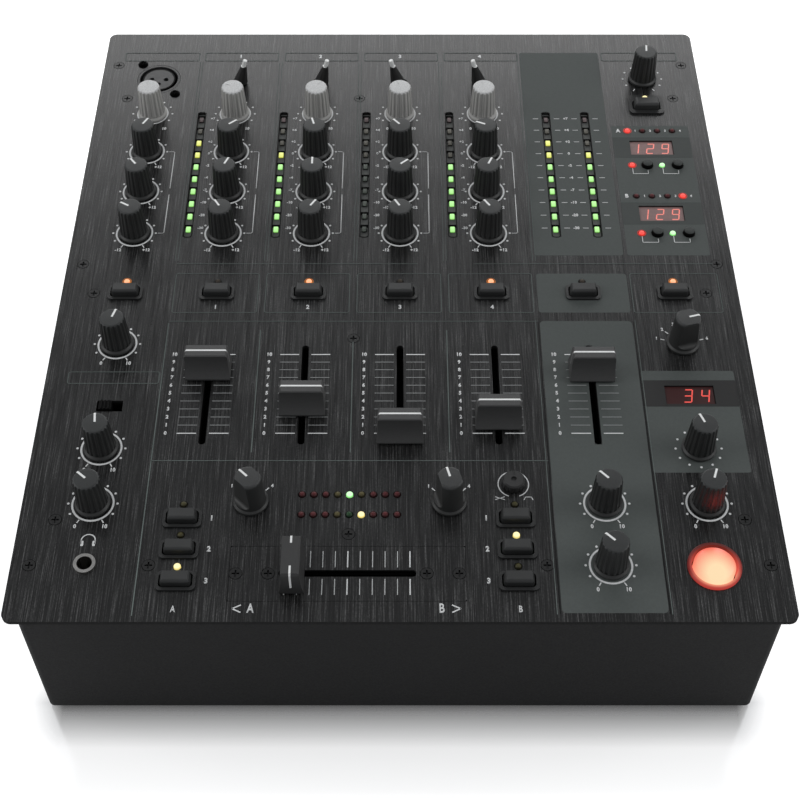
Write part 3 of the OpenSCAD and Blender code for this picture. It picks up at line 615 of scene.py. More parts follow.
def housing_zinc():
    """Zinc housings with black covers, which are all that shows through the slots."""
    f = Finish("control_housings")
    # painted shade: above this height the housings are painted black and matt
    painted_shade_top = f.where("Z") > (FACE - 11.6) * MM
    marks = f.speckle((600, 600, 90), 3, 0.6)
    base = f.mix(f.vary(marks), (0.42, 0.43, 0.44), (0.5, 0.51, 0.52))
    rough = f.vary(marks, 0.35, 0.45) + painted_shade_top * 0.4
    return f.surface(f.mix(painted_shade_top, base, grey(0.0015)), rough, 0.1, Metallic=1 - painted_shade_top)


def smoked_glass():
    """Smoked red windows: greyish ones for the tempo, a deep red one for the effects."""
    f = Finish("smoked_window")
    cloud = f.speckle(700)
    smoked = f.mix(f.vary(cloud), (0.19, 0.12, 0.115), (0.22, 0.135, 0.13))
    return f.surface(f.mix(f.where("Y") < 0, smoked, (0.04, 0.008, 0.008)), f.vary(cloud, 0.4, 0.48), 0.3)


def bezel_frames():
    """Black frames, and a deep red ring round the large key, lit from the front."""
    f = Finish("bezels")
    dx, dy = f.from_point(*EFFECT_KEY)
    apart = dx * dx + dy * dy
    # painted glow: within this radius the frame glows red as if lit by the large key
    red = apart < (12 * MM) ** 2
    away = f.spread(apart ** 0.5, 9.3 * MM, 10.9 * MM)
    front = f.spread(dy, -9 * MM, -2 * MM)
    inner = f.mix(front, (0.98, 0.4, 0.23), (0.6, 0.07, 0.05))
    outer = f.mix(front, (0.42, 0.04, 0.03), (0.1, 0.006, 0.005))
    back = f.spread(dy, -2 * MM, 8 * MM, 0, 0.96)
    lit = f.mix(back, f.mix(away, inner, outer), (0.02, 0.004, 0.003))
    grain = f.speckle(1700, 2, 0.6)
    return f.surface(
        f.mix(red, (0.016, 0.0165, 0.0165), (0.1, 0.01, 0.007)), f.vary(grain, 0.4, 0.5),
        Normal=f.bump(grain), Emission_Color=f.mix(red, grey(0), lit), Emission_Strength=1.0,
    )


def socket_metal():
    """Nickel, with the microphone socket in black and gilt phono sockets at the back."""
    f = Finish("socket_metal")
    marks = f.speckle((600, 600, 90), 3, 0.6)
    x, y, z = f.where("X"), f.where("Y"), f.where("Z")
    microphone = (x < -0.1) * (y > 0.12) * (y < 0.172)
    mains = (x < -0.1) * (y > 0.172)
    gilt = (x > 0) * (y > 0.1745) * (z > 0.028)
    dark = microphone + mains
    dx, dy = f.from_point(*MICROPHONE)
    apart = dx * dx + dy * dy
    # painted shade: a near black ring inside the microphone socket
    painted_shade_ring = microphone * (apart > (7.9 * MM) ** 2) * (apart < (9.5 * MM) ** 2)
    base = f.mix(dark, f.mix(gilt, (0.5, 0.49, 0.47), (0.75, 0.5, 0.16)), (0.027, 0.027, 0.028))
    rough = f.vary(marks, 0.25, 0.38) + dark * 0.12
    return f.surface(f.mix(painted_shade_ring, base, grey(0.0005)), rough, Metallic=1 - dark + painted_shade_ring)


class MIXER_OT_case(Operator):
    """Finishes the plate, the case, the feet and the screws"""

    bl_idname = "mixer.case"
    bl_label = "Case and plate"

    def execute(self, context):
        brushed = brushed_metal(context.scene.mixer_print.plate)
        finishes = {
            "top_plate": brushed,
            "crossfader_plate": brushed,
            "bottom_case": powder_coat(),
            "rubber_feet": plastic("rubber", grey(0.012), 0.8, 0.3),
            "screws": screw_steel(),
            "circuit_boards": plastic("green_board", (0.01, 0.07, 0.03), 0.4),
            "control_bodies": housing_zinc(),
            "power_supply": plastic("power_board", (0.2, 0.15, 0.06), 0.5),
            "display_windows": smoked_glass(),
            "button_bezels": bezel_frames(),
            "sockets": socket_metal(),
        }
        for node, finish in finishes.items():
            paint_node(node, finish)
        return {"FINISHED"}


# --- print ---


def plate_openings():
    """Blocks where the plate is open or holds a lamp, to keep print off them."""
    main_x, _ = middle_of("main_fader")
    slots = [(x, METER_MIDDLE, 4.7, 90.6) for x in METER_X]
    slots += [(x, y, 22.1, 10.5) for x, y, _ in DISPLAYS]
    slots += [(x, y, 15, 7.8) for x, y in key_places()]
    slots.append((main_x, -68.65, 3.3, 56.5))
    holes = [(x, y, 3.05, 32) for x, y in round_key_places()]
    holes += [(x, y, 1.76, 24) for x, y, _ in lamp_places()]
    holes += [(*place_of(knob), 4.4, 32) for knob in ("balance", "booth", "parameter")]
    blocks = [begin("cube", (width, depth, 4), (x, y, 0)) for x, y, width, depth in slots]
    for x, y, radius, sides in holes:
        stretch = (radius, radius, 4)
        blocks.append(begin("cylinder", stretch, (x, y, 0), radius=1, depth=1, vertices=sides))
    return join("openings", blocks)


def punched(shape, openings):
    """A flat shape without the plate's openings."""
    modify(shape, "SOLIDIFY", thickness=0.02 * MM, offset=0)
    modify(shape, "BOOLEAN", operation="DIFFERENCE", object=openings, solver="EXACT")
    edit(shape, everything=False)
    pick(shape, lambda c, n: n.z < 0.5)
    bpy.ops.mesh.delete(type="FACE")
    clear()
    shape.data.transform(Matrix.Diagonal((1, 1, 0, 1)))
    return shape


class MIXER_OT_panels(Operator):
    """Prints the grey panels and the dark bars round the displays"""

    bl_idname = "mixer.panels"
    bl_label = "Grey panels"

    def execute(self, context):
        panel = tuple(context.scene.mixer_print.panel)
        layers = (
            ("grey_panels", ink("panel_ink", panel, 0.08, 0.2, 1.2), 0, (
                (65, 16.5, 108, 169, 1.5), (65, -20.3, 108, 4.6, 1.5), (65, -181, 108, -25.5, 2),
                (110, 16.5, 150, 109.6, 1), (109, -112, 151, -55.5, 1),
            )),
            ("display_bars", ink("bar_ink", shaded(panel, 0.72), 0.05), 0.05, (
                (110, 85.5, 150, 100.8, 0.5), (110, 37.6, 150, 52.8, 0.5),
            )),
            ("effect_display_bar", ink("dark_bar_ink", grey(0.028), 0.05), 0.05, (
                (109, -76, 151, -61, 0.5),
            )),
        )
        openings = plate_openings()
        for name, finish, level, corners in layers:
            shapes = [punched(rounded_bar(*corner), openings) for corner in corners]
            printed(name, shapes, finish, level=level)
        discard(openings)
        return {"FINISHED"}


class MIXER_OT_lines(Operator):
    """Prints the thin dividing lines and boxes"""

    bl_idname = "mixer.lines"
    bl_label = "Dividing lines"

    def execute(self, context):
        thin = 0.35
        boxes = [
            (-149.5, 162, -109, 169, 1), (109.5, 162, 150.5, 169, 1), (109.5, -20.4, 151.5, 4.7, 1.2),
            (-150, -63, -108.6, -56, 1),
        ]
        for x in CHANNEL_X:
            boxes += [(x - 19.4, 162, x + 20.6, 169, 1), (x - 20.4, -20.4, x + 19.6, 4.7, 1.2)]
        upright = [
            (-107.6, -27, -182, 0.5), (-64.6, -31.5, -101, 0.5), (-21.6, -38.5, -101, 0.5),
            (21.6, -31.5, -101, 0.5), (63.1, -25, -181.5, 0.3), (109.4, -25, -181.5, 0.3),
        ]
        for x in (-107.6, -64.6, -21.6, 21.6, 64.6):
            back = 160.8 if x < 60 else 168
            upright += [(x - 0.7, 13, back, 0.28), (x + 0.7, 13, back, 0.28)]
        level = (
            (11, -107, 8.5, thin), (11, 35.5, 150, thin), (-25.7, -107.5, 64, thin),
            (-105.7, -107.5, 64, thin), (100.9, 110, 149.6, 0.25), (53, 110, 149.6, 0.25),
        )
        lines = [rim_of(rounded_bar(*box), thin) for box in boxes]
        lines += [stroke(x, start, x, end, width) for x, start, end, width in upright]
        lines += [stroke(start, y, end, y, width) for y, start, end, width in level]
        colour = tuple(context.scene.mixer_print.line)
        printed("dividing_lines", lines, ink("line_ink", colour, 0.15, 0.0, 1.35))
        seams = [stroke(x, -26, x, -181, 0.45) for x in (64.3, 108.5)]
        printed("panel_seams", seams, ink("seam_ink", grey(0.005), 0.1))
        return {"FINISHED"}


def fader_scale(node):
    """Where a fader stands, and how far back each of the eleven lines of its scale lies."""
    x, y = middle_of(node)
    low, high = (v / MM for v in JOINTS[node]["range_m"])
    return x, [y + low + (high - low) * step / 10 for step in range(11)]


def tick(x, y, inner, outer, angle):
    (near_x, near_y), (far_x, far_y) = polar(inner, angle), polar(outer, angle)
    return stroke(x + near_x, y + near_y, x + far_x, y + far_y, 0.5)


def dial(ring_radius, dot_radius, end_marks):
    """A ring, nine dots that leave the front open and two end marks."""
    shapes = [ring(ring_radius, 0.85)] if ring_radius else []
    shapes += [disc(0.55, *polar(dot_radius, angle)) for angle in range(-30, 211, 30)]
    if end_marks:
        shapes += [tick(0, 0, 9.7, 11, angle) for angle in (240, -60)]
    return join("dial", shapes)


def trimmer_marks():
    """Two arcs round the trimmer, and a crossed and a flat curve in front of it."""
    x, y = place_of("curve")
    arcs = [move(ring(6.5, 0.5, *ends), x, y) for ends in ((100, 250), (290, 360), (0, 80))]
    y -= 7.2
    curves = (
        (-7.9, 0.7, -4.1, -0.7), (-7.9, -0.7, -4.1, 0.7),
        (4.2, -0.8, 4.9, 0.6), (4.8, 0.6, 7.4, 0.6), (7.3, 0.6, 8, -0.8),
    )
    return arcs + [stroke(x + x0, y + y0, x + x1, y + y1, 0.32) for x0, y0, x1, y1 in curves]


def print_fader_lines():
    bold, fine, across = [], [], []
    for node in FADERS:
        x, scale = fader_scale(node)
        for step, y in enumerate(scale):
            group, width = (bold, 0.5) if step in (0, 10) else (fine, 0.3)
            group += [bar(8.6, width, x + side, y) for side in (-7.1, 7.1)]
    x, y = middle_of("crossfader")
    travel = JOINTS["crossfader"]["range_m"][1] / MM
    for step in range(11):
        place = x - 3.1 + (travel + 6.2) * step / 10
        group, width = (bold, 0.5) if step in (0, 5, 10) else (across, 0.35)
        group += [bar(width, 7.8, place, y + 6.7), bar(width, 7.5, place, y - 6.45)]
    printed("fader_end_lines", bold, white_ink())
    printed("fader_lines", fine, ink("silver_ink", (0.33, 0.34, 0.34), 0.1))
    printed("crossfader_lines", across, ink("pale_ink", (0.52, 0.53, 0.53), 0.1))


class MIXER_OT_scales(Operator):
    """Prints the ring, dots and end marks round every dial, and the lines beside the faders"""

    bl_idname = "mixer.scales"
    bl_label = "Scales"

    def execute(self, context):
        tone_knobs = [f"{column}_{band}" for column in ("mic", *CHANNELS) for band in BANDS]
        dials = (
            (dial(8.7, 10.4, True), (*tone_knobs, *LEVEL_KNOBS)),
            (dial(7.8, 10.3, False), GREY_KNOBS),
            (dial(None, 10.3, True), ("width",)),
        )
        shapes = []
        for pattern, knobs in dials:
            shapes += [copy_of(pattern, *place_of(knob)) for knob in knobs]
            discard(pattern)
        x, y = place_of("parameter")
        for step in range(12):
            dx, dy = polar(10, 30 * step)
            shapes.append(disc(0.55, x + dx, y + dy))
        for knob, first, count in (("source", 15, 6), ("assign_a", 45, 4), ("assign_b", 45, 4)):
            x, y = place_of(knob)
            shapes += [tick(x, y, 8.6, 10, first + 30 * step) for step in range(count)]
        shapes += trimmer_marks()
        printed("dial_scales", shapes, white_ink())
        print_fader_lines()
        return {"FINISHED"}


def all_figures():
    """Every figure, with its place and height, and its own squeeze and weight if it has them."""
    found = []
    for node in FADERS:
        x, scale = fader_scale(node)
        found += [(str(step), x - 16.4, y, 2.25) for step, y in enumerate(scale)]
    for y, mark in zip(METER_Y, METER_MARKS):
        found += [(mark, x + 6, y, 1.9) for x in METER_X[:4]]
        found.append((mark, MAIN_X, y, 2))
    for x in COLUMN_X:
        found += [("0", x - 6.6, GAIN_Y - 11.6, 2.1), ("10", x + 7, GAIN_Y - 11.6, 2.1)]
        for y in TONE_Y:
            found += [("-12", x - 6.8, y - 11.4, 2.1), ("+12", x + 6.8, y - 11.4, 2.1)]
    for knob in LEVEL_KNOBS:
        x, y = place_of(knob)
        found += [("0", x - 6.2, y - 11.5, 2.2), ("10", x + 6.2, y - 11.5, 2.2)]
    for letter, (lamps_y, _) in zip("AB", DISPLAY_LAMPS):
        found.append((letter, 113.4, lamps_y, 2.9))
        found += [(str(step + 1), 122.3 + 7.75 * step, lamps_y, 1.7) for step in range(4)]
        x, y = place_of(f"assign_{letter.lower()}")
        found += [("1", x - 8.6, y + 8.2, 2), ("4", x + 8.6, y + 8.2, 2)]
    x, y = place_of("source")
    for step in range(6):
        dx, dy = polar(12, 165 - 30 * step)
        found.append((str(step + 1), x + dx, y + dy, 2))
    for number, x in enumerate(CHANNEL_X, 1):
        found += [(str(number), x, 165.6, 3.2), (str(number), x, -16.9, 2.8)]
    found += [("A", -60.2, -179, 5, 0.68, 0.03), ("B", 16.8, -179, 5, 0.68, 0.03)]
    for letter, x, beside in zip("AB", KILL_X, (12.3, -12.3)):
        found.append((letter, x, -179.3, 3.5, 0.68, 0.03))
        found += [(str(number), x + beside, y, 2.9) for number, y in enumerate(KILL_Y, 1)]
    return found


class MIXER_OT_figures(Operator):
    """Prints the figures of the scales and meters"""

    bl_idname = "mixer.figures"
    bl_label = "Figures"

    def execute(self, context):
        shapes = [lettering(*figure) for figure in all_figures()]
        for y in METER_Y:
            shapes += [bar(2.8, 0.3, MAIN_X + x, y) for x in (-15.6, -4.6, 4.6, 15.6)]
        discard(*LETTERS.values())
        LETTERS.clear()
        printed("figures", shapes, white_ink())
        return {"FINISHED"}


def headphones(x, y):
    """A band over two ear cups."""
    shapes = [move(ring(2.9, 0.5, 0, 180, 48), x, y + 0.6)]
    for side in (-1, 1):
        cup = x + side * 2.45
        shapes.append(rounded_bar(cup - 0.6, y - 2.2, cup + 0.6, y + 0.4, 0.4))
        shapes.append(bar(0.45, 2.2, x + side * 2.95, y - 0.2))
    return shapes


class MIXER_OT_signs(Operator):
    """Prints the brackets, arrows and the headphone sign"""

    bl_idname = "mixer.signs"
    bl_label = "Signs"

    def execute(self, context):
        shapes = []
        high, middle, low = TONE_Y
        for x in COLUMN_X:
            near, edge = x + 11.6, x + 14.3
            shapes += trace(0.35, (near, high), (edge - 0.6, high), (edge, high - 0.6), (edge, middle + 2.4))
            shapes += trace(0.35, (edge, middle - 2.4), (edge, low + 0.6), (edge - 0.6, low), (near, low))
        for x, y in round_key_places():
            left, foot = x - 7.7, y - 6.2
            shapes += trace(0.3, (left, y - 2.2), (left, foot), (x, foot), (x, y - 3.9))
        for x, half in ((-65.9, 1.6), (22.8, -1.6)):
            shapes += [stroke(x - half, -179, x + half, -179 + up, 0.55) for up in (-1.6, 1.6)]
        shapes += headphones(PHONES[0], PHONES[1] + 11)
        printed("signs", shapes, white_ink())
        return {"FINISHED"}


# --- knobs, faders and levers ---


def pointer_line():
    """A white inlay that fills the groove, reaches near the middle and bends over the rounded edge."""
    path = ((0.4, 0.045), (4.6, 0.045), (5.0, 0.1), (5.4, 0.33), (5.62, 0.62))
    return ribbon([(x, FACE + KNOB_H - down) for x, down in path], 0.92, 0.1)


class MIXER_OT_knobs(Operator):
    """Finishes the knobs and lays a white line in each pointer groove"""

    bl_idname = "mixer.knobs"
    bl_label = "Knobs"

    def execute(self, context):
        body, top = (0.024, 0.0245, 0.024), KNOB_H - 1.7
        black = two_tone("black_knob", body, (0.023, 0.025, 0.025), top, top_rough=0.52)
        # painted light: the flatted and grey knobs take lighter tops, and the grey knobs paler flute valleys
        flatted = two_tone("flatted_knob", body, (0.034, 0.0355, 0.0355), top, top_rough=0.52)
        pale = two_tone("grey_knob", (0.37, 0.366, 0.353), (0.545, 0.55, 0.55), KNOB_H - 0.9, painted_groove_light=1.28)
        line = pointer_line()
        for node in (child for child in JOINTS if child.endswith("_knob")):
            knob = node.removesuffix("_knob")
            if knob == "curve":
                paint_node(node, plastic("trim_knob", grey(0.022), 0.4))
            elif knob in GREY_KNOBS:
                paint_node(node, pale)
            else:
                paint_node(node, flatted if knob in FLATTED_KNOBS else black)
                piece = copy_of(line, *place_of(knob), turn=90 - turn_of(knob))
                seat(f"{knob}_pointer", [piece], white_inlay(), node)
        discard(line)
        return {"FINISHED"}


def cap_plastic(name, shade):
    """Dark moulded plastic; the steel blade below is oxide black."""
    f = Finish(name)
    # painted shade: below this height the cap and blade are painted almost pure black
    below = f.where("Z") < (FACE + 0.8) * MM
    grain = f.speckle(1700, 2, 0.6)
    base = f.mix(below, f.clouded(grain, grey(shade), 0.87, 1.13), grey(0.001))
    return f.surface(base, f.vary(grain, 0.5, 0.6) + below * 0.4, Normal=f.bump(grain))


def ridge_white():
    """White on the ridge, greyer where the strip runs thin down the ends."""
    f = Finish("fader_line")
    ridge = f.where("Z") > (FACE + 14) * MM
    worn = f.speckle(900, 3, 0.6)
    white = f.mix(f.spread(worn, 0.35, 0.65), (0.8, 0.81, 0.8), (0.88, 0.89, 0.88))
    return f.surface(f.mix(ridge, grey(0.2), white), 0.6, 0.2)


def ridge_line(start, end, foot, turn=0):
    """A white strip along the ridge from start to end, bent over the cap's end down to foot."""
    ridge = FACE + 14.42
    slope = (9.62 + 0.049 * (13.3 - foot), FACE + foot)
    path = [(start, ridge), (end, ridge), (end + 0.85, FACE + 13.35), slope]
    return move(ribbon(path, 0.85, 0.07), turn=turn)


class MIXER_OT_faders(Operator):
    """Finishes the fader caps and lays a white line over each ridge"""

    bl_idname = "mixer.faders"
    bl_label = "Faders"

    def execute(self, context):
        cap = cap_plastic("fader_cap", 0.055)
        both = join("line", [ridge_line(-8.75, 8.75, 6), ridge_line(8.7, 8.75, 6, 180)])
        line_finish = ridge_white()
        for node in FADERS:
            paint_node(node, cap)
            piece = copy_of(both, *middle_of(node))
            seat(f"{node}_line", [piece], line_finish, node)
        paint_node("crossfader", cap_plastic("crossfader_cap", 0.03))
        ends = join("line", [ridge_line(5.2, 8.75, 5.2), ridge_line(5.6, 8.75, 12, 180)])
        piece = copy_of(ends, *middle_of("crossfader"), turn=-90)
        seat("crossfader_line", [piece], white_inlay(), "crossfader")
        discard(both, ends)
        paint_node("mode_slider", plastic("slider_black", grey(0.004), 0.6, gloss=0.1))
        paint_node("power_rocker", plastic("rocker_black", grey(0.012), 0.35))
        return {"FINISHED"}


class MIXER_OT_levers(Operator):
    """Finishes the input toggles: steel stem, black bat and white tip"""

    bl_idname = "mixer.levers"
    bl_label = "Toggles"

    def execute(self, context):
        f = Finish("toggle_bat")
        height = f.where("Z")
        tip = height > (FACE + 11.75) * MM
        bat = height > (FACE + 0.4) * MM
        base = f.mix(tip, f.mix(bat, grey(0.5), grey(0.012)), (0.78, 0.79, 0.78))
        rough = f.vary(f.speckle(1500), 0.3, 0.4)
        finish = f.surface(base, rough, Metallic=1 - bat)
        for channel in CHANNELS:
            paint_node(f"{channel}_input_lever", finish)
        return {"FINISHED"}


# --- keys and lamps ---


def key_places():
    """The wide keys: the cue row, the width key and the kill keys."""
    row = [(x, KEY_ROW_Y) for x in (*COLUMN_X, MAIN_X, EFFECT_X)]
    return [*row, WIDTH_KEY, *((x, y) for x in KILL_X for y in KILL_Y)]


def round_key_places():
    return [(x, y) for y in ROUND_KEY_Y for x in (126, 141.4)]


AMBER, STRAW, RED, GREEN, YELLOW = "amber", "straw", "red", "green", "yellow"
LIT = {
    AMBER: (1.0, 0.3, 0.03), STRAW: (1.0, 0.82, 0.25), RED: (0.9, 0.032, 0.016),
    GREEN: (0.3, 0.95, 0.24), YELLOW: (1.0, 0.78, 0.2),
}
CORE = {AMBER: 0.25, STRAW: 0.34, RED: 0.06, GREEN: 0.5, YELLOW: 0.38}  # how pale a lit lamp's middle is
UNLIT = {
    AMBER: (0.05, 0.04, 0.03), STRAW: (0.075, 0.068, 0.03), RED: (0.1, 0.022, 0.024),
    GREEN: (0.025, 0.07, 0.03), YELLOW: (0.1, 0.085, 0.035),
}
METER_TINT = {GREEN: (0.36, 0.9, 0.19), YELLOW: (0.78, 0.82, 0.09)}
METER_DARK = {RED: (0.12, 0.09, 0.091), YELLOW: (0.115, 0.11, 0.092), GREEN: (0.09, 0.105, 0.09)}
METER_LIT = (8, 7, 0, 6, 8, 7)  # bars lit on each meter


def lamp_places():
    """Every round lamp as x, y and its colour, with a star where it is lit."""
    on, off = AMBER + "*", AMBER
    row = [on, off, on, off, on, off, on, STRAW + "*"]
    row += [STRAW, STRAW, STRAW + "*", STRAW, STRAW + "*", STRAW]
    lamps = [(x, y + LAMP_BEHIND, colour) for (x, y), colour in zip(key_places(), row)]
    tempo = [RED, RED, RED, YELLOW, GREEN, YELLOW, RED, RED, RED]
    for y, lit in ((-123.4, 4), (-133.6, 5)):
        lamps += [(-41.6 + 5.05 * i, y, colour + "*" * (i == lit)) for i, colour in enumerate(tempo)]
    for y, lit in DISPLAY_LAMPS:
        lamps += [(118.2 + 7.75 * i, y, RED + "*" * (i == lit)) for i in range(4)]
    for y in ROUND_KEY_Y:
        lamps += [(118.3, y, RED + "*"), (133.5, y, GREEN + "*")]
    return lamps


def lamp_dome():
    """A small dome on a straight neck."""
    dome = begin("uv_sphere", (1.5, 1.5, 1.1), segments=20, ring_count=10, radius=1)
    edit(dome)
    bpy.ops.mesh.bisect(plane_co=(0, 0, 0), plane_no=(0, 0, 1), use_fill=True, clear_inner=True)
    pick(dome, lambda c, n: n.z < -0.9)
    extrude(0, 0, -3.5)
    hold(dome)
    bpy.ops.object.shade_smooth_by_angle(angle=math.radians(50))
    return move(dome, z=FACE)


class MIXER_OT_lamps(Operator):
    """Sets the round lamps into the plate, lit and unlit"""

    bl_idname = "mixer.lamps"
    bl_label = "Lamps"

    def execute(self, context):
        lamp = lamp_dome()
        groups = {}
        for x, y, colour in lamp_places():
            groups.setdefault(colour, []).append(copy_of(lamp, x, y))
        discard(lamp)
        strength = context.scene.mixer_lamps.lamp
        for colour, lamps in groups.items():
            name = colour.strip("*")
            if colour.endswith("*"):
                finish = glow(f"{name}_lit", LIT[name], strength, CORE[name])
                name += "_lit"
            else:
                finish = tinted_lens(f"{name}_unlit", UNLIT[name])
            seat(f"lamps_{name}", lamps, finish, stands_for=["indicator_lamps"])
        # painted glow: flat glowing rings laid over the plate round the lit amber and red lamps
        halo = ring(1.95, 0.55, sides=24)
        for name, strength in ((AMBER, 0.14), (RED, 0.25)):
            rings = [copy_of(halo, x, y) for x, y, colour in lamp_places() if colour == name + "*"]
            finish = glow(f"{name}_halo", LIT[name], strength, 0.0)
            printed(f"halo_{name}", rings, finish, 0.15)
        discard(halo)
        return {"FINISHED"}


def meter_bar():
    """One bar with rounded edges, just below the plate's face."""
    window = begin("cube", (2.4, 3.6, 0.9), (0, 0, FACE - 0.95))
    limit = math.radians(30)
    modify(window, "BEVEL", width=0.4 * MM, segments=3, limit_method="ANGLE", angle_limit=limit)
    bpy.ops.object.shade_smooth_by_angle(angle=math.radians(40))
    return window


def meter_tray():
    """A tray with round ends, its rim just above the plate."""
    tray = move(rounded_bar(-2.25, -45.9, 2.25, 45.9, 1.7), z=FACE + 0.15)
    edit(tray)
    bpy.ops.mesh.inset(thickness=0.4 * MM)
    extrude(0, 0, -1.5)
    modify(tray, "SOLIDIFY", thickness=0.12 * MM, offset=-1)
    return tray


def tray_finish():
    """Grey on the floor, black behind each bar, on the walls and on the rim."""
    f = Finish("meter_tray")
    level = f.spread(f.facing(), 0.8, 0.9)
    rim = level * (f.where("Z") > FACE * MM)
    along = f.repeated(f.where("Y") - METER_Y[0] * MM, METER_PITCH / 2 * MM)
    behind = (along > 1.6 * MM) * (along < 3.7 * MM)
    floor = level * (1 - behind) * (1 - rim)
    rough = f.vary(f.speckle(1700, 2, 0.6), 0.5, 0.6) + (1 - rim) * 0.4
    return f.surface(f.mix(floor, grey(0.001), (0.145, 0.149, 0.144)), rough, 0.12)


class MIXER_OT_meters(Operator):
    """Builds the level meters: black channels with ten bars each"""

    bl_idname = "mixer.meters"
    bl_label = "Meters"

    def execute(self, context):
        channel = meter_tray()
        channels = [copy_of(channel, x, METER_MIDDLE) for x in METER_X]
        discard(channel)
        seat("meter_channels", channels, tray_finish(), stands_for=["indicator_lamps"])
        window = meter_bar()
        groups = {}
        for x, lit in zip(METER_X, METER_LIT):
            for i, y in enumerate(METER_Y):
                colour = GREEN if i < 6 else YELLOW if i < 9 else RED
                groups.setdefault((colour, i < lit), []).append(copy_of(window, x, y))
        discard(window)
        for (colour, lit), bars in groups.items():
            name = f"{colour}_lit" if lit else colour
            if lit:
                finish = glow(f"meter_{name}", METER_TINT[colour], context.scene.mixer_lamps.meter, 0.18)
            else:
                finish = tinted_lens(f"meter_{name}", METER_DARK[colour])
            seat(f"meter_bars_{name}", bars, finish, stands_for=["indicator_lamps"])
        return {"FINISHED"}


SEGMENTS = {"1": "bc", "2": "abged", "3": "abgcd", "4": "fgbc", "9": "abcdfg"}


def seven_bars(figure, x, y):
    """A leaning figure of seven bars."""
    half_w, half_h, thick = 1.65, 1.75, 0.6
    places = {"a": (0, 2), "b": (1, 1), "c": (1, -1), "d": (0, -2), "e": (-1, -1), "f": (-1, 1), "g": (0, 0)}
    lean = Matrix.Identity(4)
    lean[0][1] = 0.16
    shapes = []
    for key in SEGMENTS[figure]:
        side, up = places[key]
        length = 2 * (half_h if side else half_w) - 0.25
        shape = bar(length, thick, side * half_w, up * half_h, 90 if side else 0)
        shape.data.transform(lean)
        shapes.append(move(shape, x, y))
    return shapes


class MIXER_OT_displays(Operator):
    """Lights the figures in the three displays"""

    bl_idname = "mixer.displays"
    bl_label = "Displays"

    def execute(self, context):
        shapes = []
        for x, y, figures in DISPLAYS:
            for i, figure in enumerate(reversed(figures)):
                shapes += seven_bars(figure, x + 7 - 7.7 * i, y - 0.2)
        digits = move(join("display_figures", shapes), z=FACE - 0.6)
        modify(digits, "SOLIDIFY", thickness=0.06 * MM, offset=1)
        f = Finish("red_figures")
        tint = f.mix(f.where("Y") < 0, (1.0, 0.3, 0.25), (1.0, 0.1, 0.08))
        strength = context.scene.mixer_lamps.digits
        finish = f.surface((0.3, 0.05, 0.04), 0.3, Emission_Color=tint, Emission_Strength=strength)
        seat("display_figures", [digits], finish)
        return {"FINISHED"}


def key_glow(strength):
    """Pale in front of the middle, salmon towards the rim."""
    f = Finish("effect_glow")
    dx, dy = f.from_point(*EFFECT_KEY)
    low = (dy + 5 * MM) * 0.88
    radius = (dx * dx + low * low) ** 0.5
    share = f.spread(radius, 3.4 * MM, 10.8 * MM) ** 1.15
    colour = f.mix(share, (1.0, 0.76, 0.46), (0.95, 0.18, 0.12))
    return f.surface((0.05, 0.02, 0.015), 0.3, Emission_Color=colour, Emission_Strength=strength)


class MIXER_OT_keys(Operator):
    """Finishes the keys and lights the large effect key"""

    bl_idname = "mixer.keys"
    bl_label = "Keys"

    def execute(self, context):
        key = plastic("key_grey", (0.026, 0.027, 0.027), 0.5)
        paint_node("cue_buttons", key)
        paint_node("kill_buttons", key)
        # painted shade: the round keys' sides are painted near black under a lighter, painted-light top
        round_key = two_tone("round_key", grey(0.002), (0.06, 0.065, 0.063), 2.6, 0.6, gloss=0.1)
        paint_node("beat_buttons", round_key)
        paint_node("effect_button", key_glow(context.scene.mixer_lamps.key))
        return {"FINISHED"}


# --- stage ---


def stand(data, place):
    obj = bpy.data.objects.new(data.name, data)
    obj.location = place
    bpy.context.scene.collection.objects.link(obj)
    return obj


def pale_floor():
    """Pale all over, and polished in a strip in front of the case, where it mirrors the front."""
    clear()
    bpy.ops.mesh.primitive_plane_add(size=12)
    floor = bpy.context.object
    floor.name = "floor"
    f = Finish("pale_floor")
    seen = f.node("LightPath")
    x, y = f.where("X"), f.where("Y")
    near = f.spread(y, -0.27, -0.19, 0.02, 0.27) + f.spread(y, -0.2, -0.178, 0.0, 0.66)
    near = near * f.spread(x * x, 0.0225, 0.028, 1, 0) * f.spread(y, -0.178, -0.165, 1, 0)
    matt = f.node("BsdfDiffuse", {"Color": grey(0.9)})
    bright = f.node("Emission", {"Color": grey(1), "Strength": 0.72})
    pale = f.node("AddShader", {0: matt, 1: bright})
    polish = f.node("BsdfGlossy", {"Color": grey(1), "Roughness": 0.1})
    polished = f.node("MixShader", {0: near, 1: pale, 2: polish})
    surface = f.node("MixShader", {0: seen, 1: matt, 2: polished})
    f.node("OutputMaterial", {"Surface": surface})
    floor.data.materials.append(f.material)


def studio_sky(strength):
    """White to the camera, and a soft grey light on everything."""
    f = Finish("studio", "worlds")
    seen = f.node("LightPath")
    white = f.node("Background", {"Color": grey(1), "Strength": 1.0})
    light = f.node("Background", {"Color": (0.95, 0.97, 1.0), "Strength": strength})
    surface = f.node("MixShader", {0: seen, 1: light, 2: white})
    f.node("OutputWorld", {"Surface": surface})
    bpy.context.scene.world = f.material


def soft_box(name, place, size, power):
    """A soft box that faces the middle of the plate."""
    lamp = bpy.data.lights.new(name, "AREA")
    lamp.shape = "RECTANGLE"
    lamp.size, lamp.size_y = size
    lamp.energy = power
    aim = Vector((0, 0, FACE * MM)) - Vector(place)
    stand(lamp, place).rotation_euler = aim.to_track_quat("-Z", "Y").to_euler()


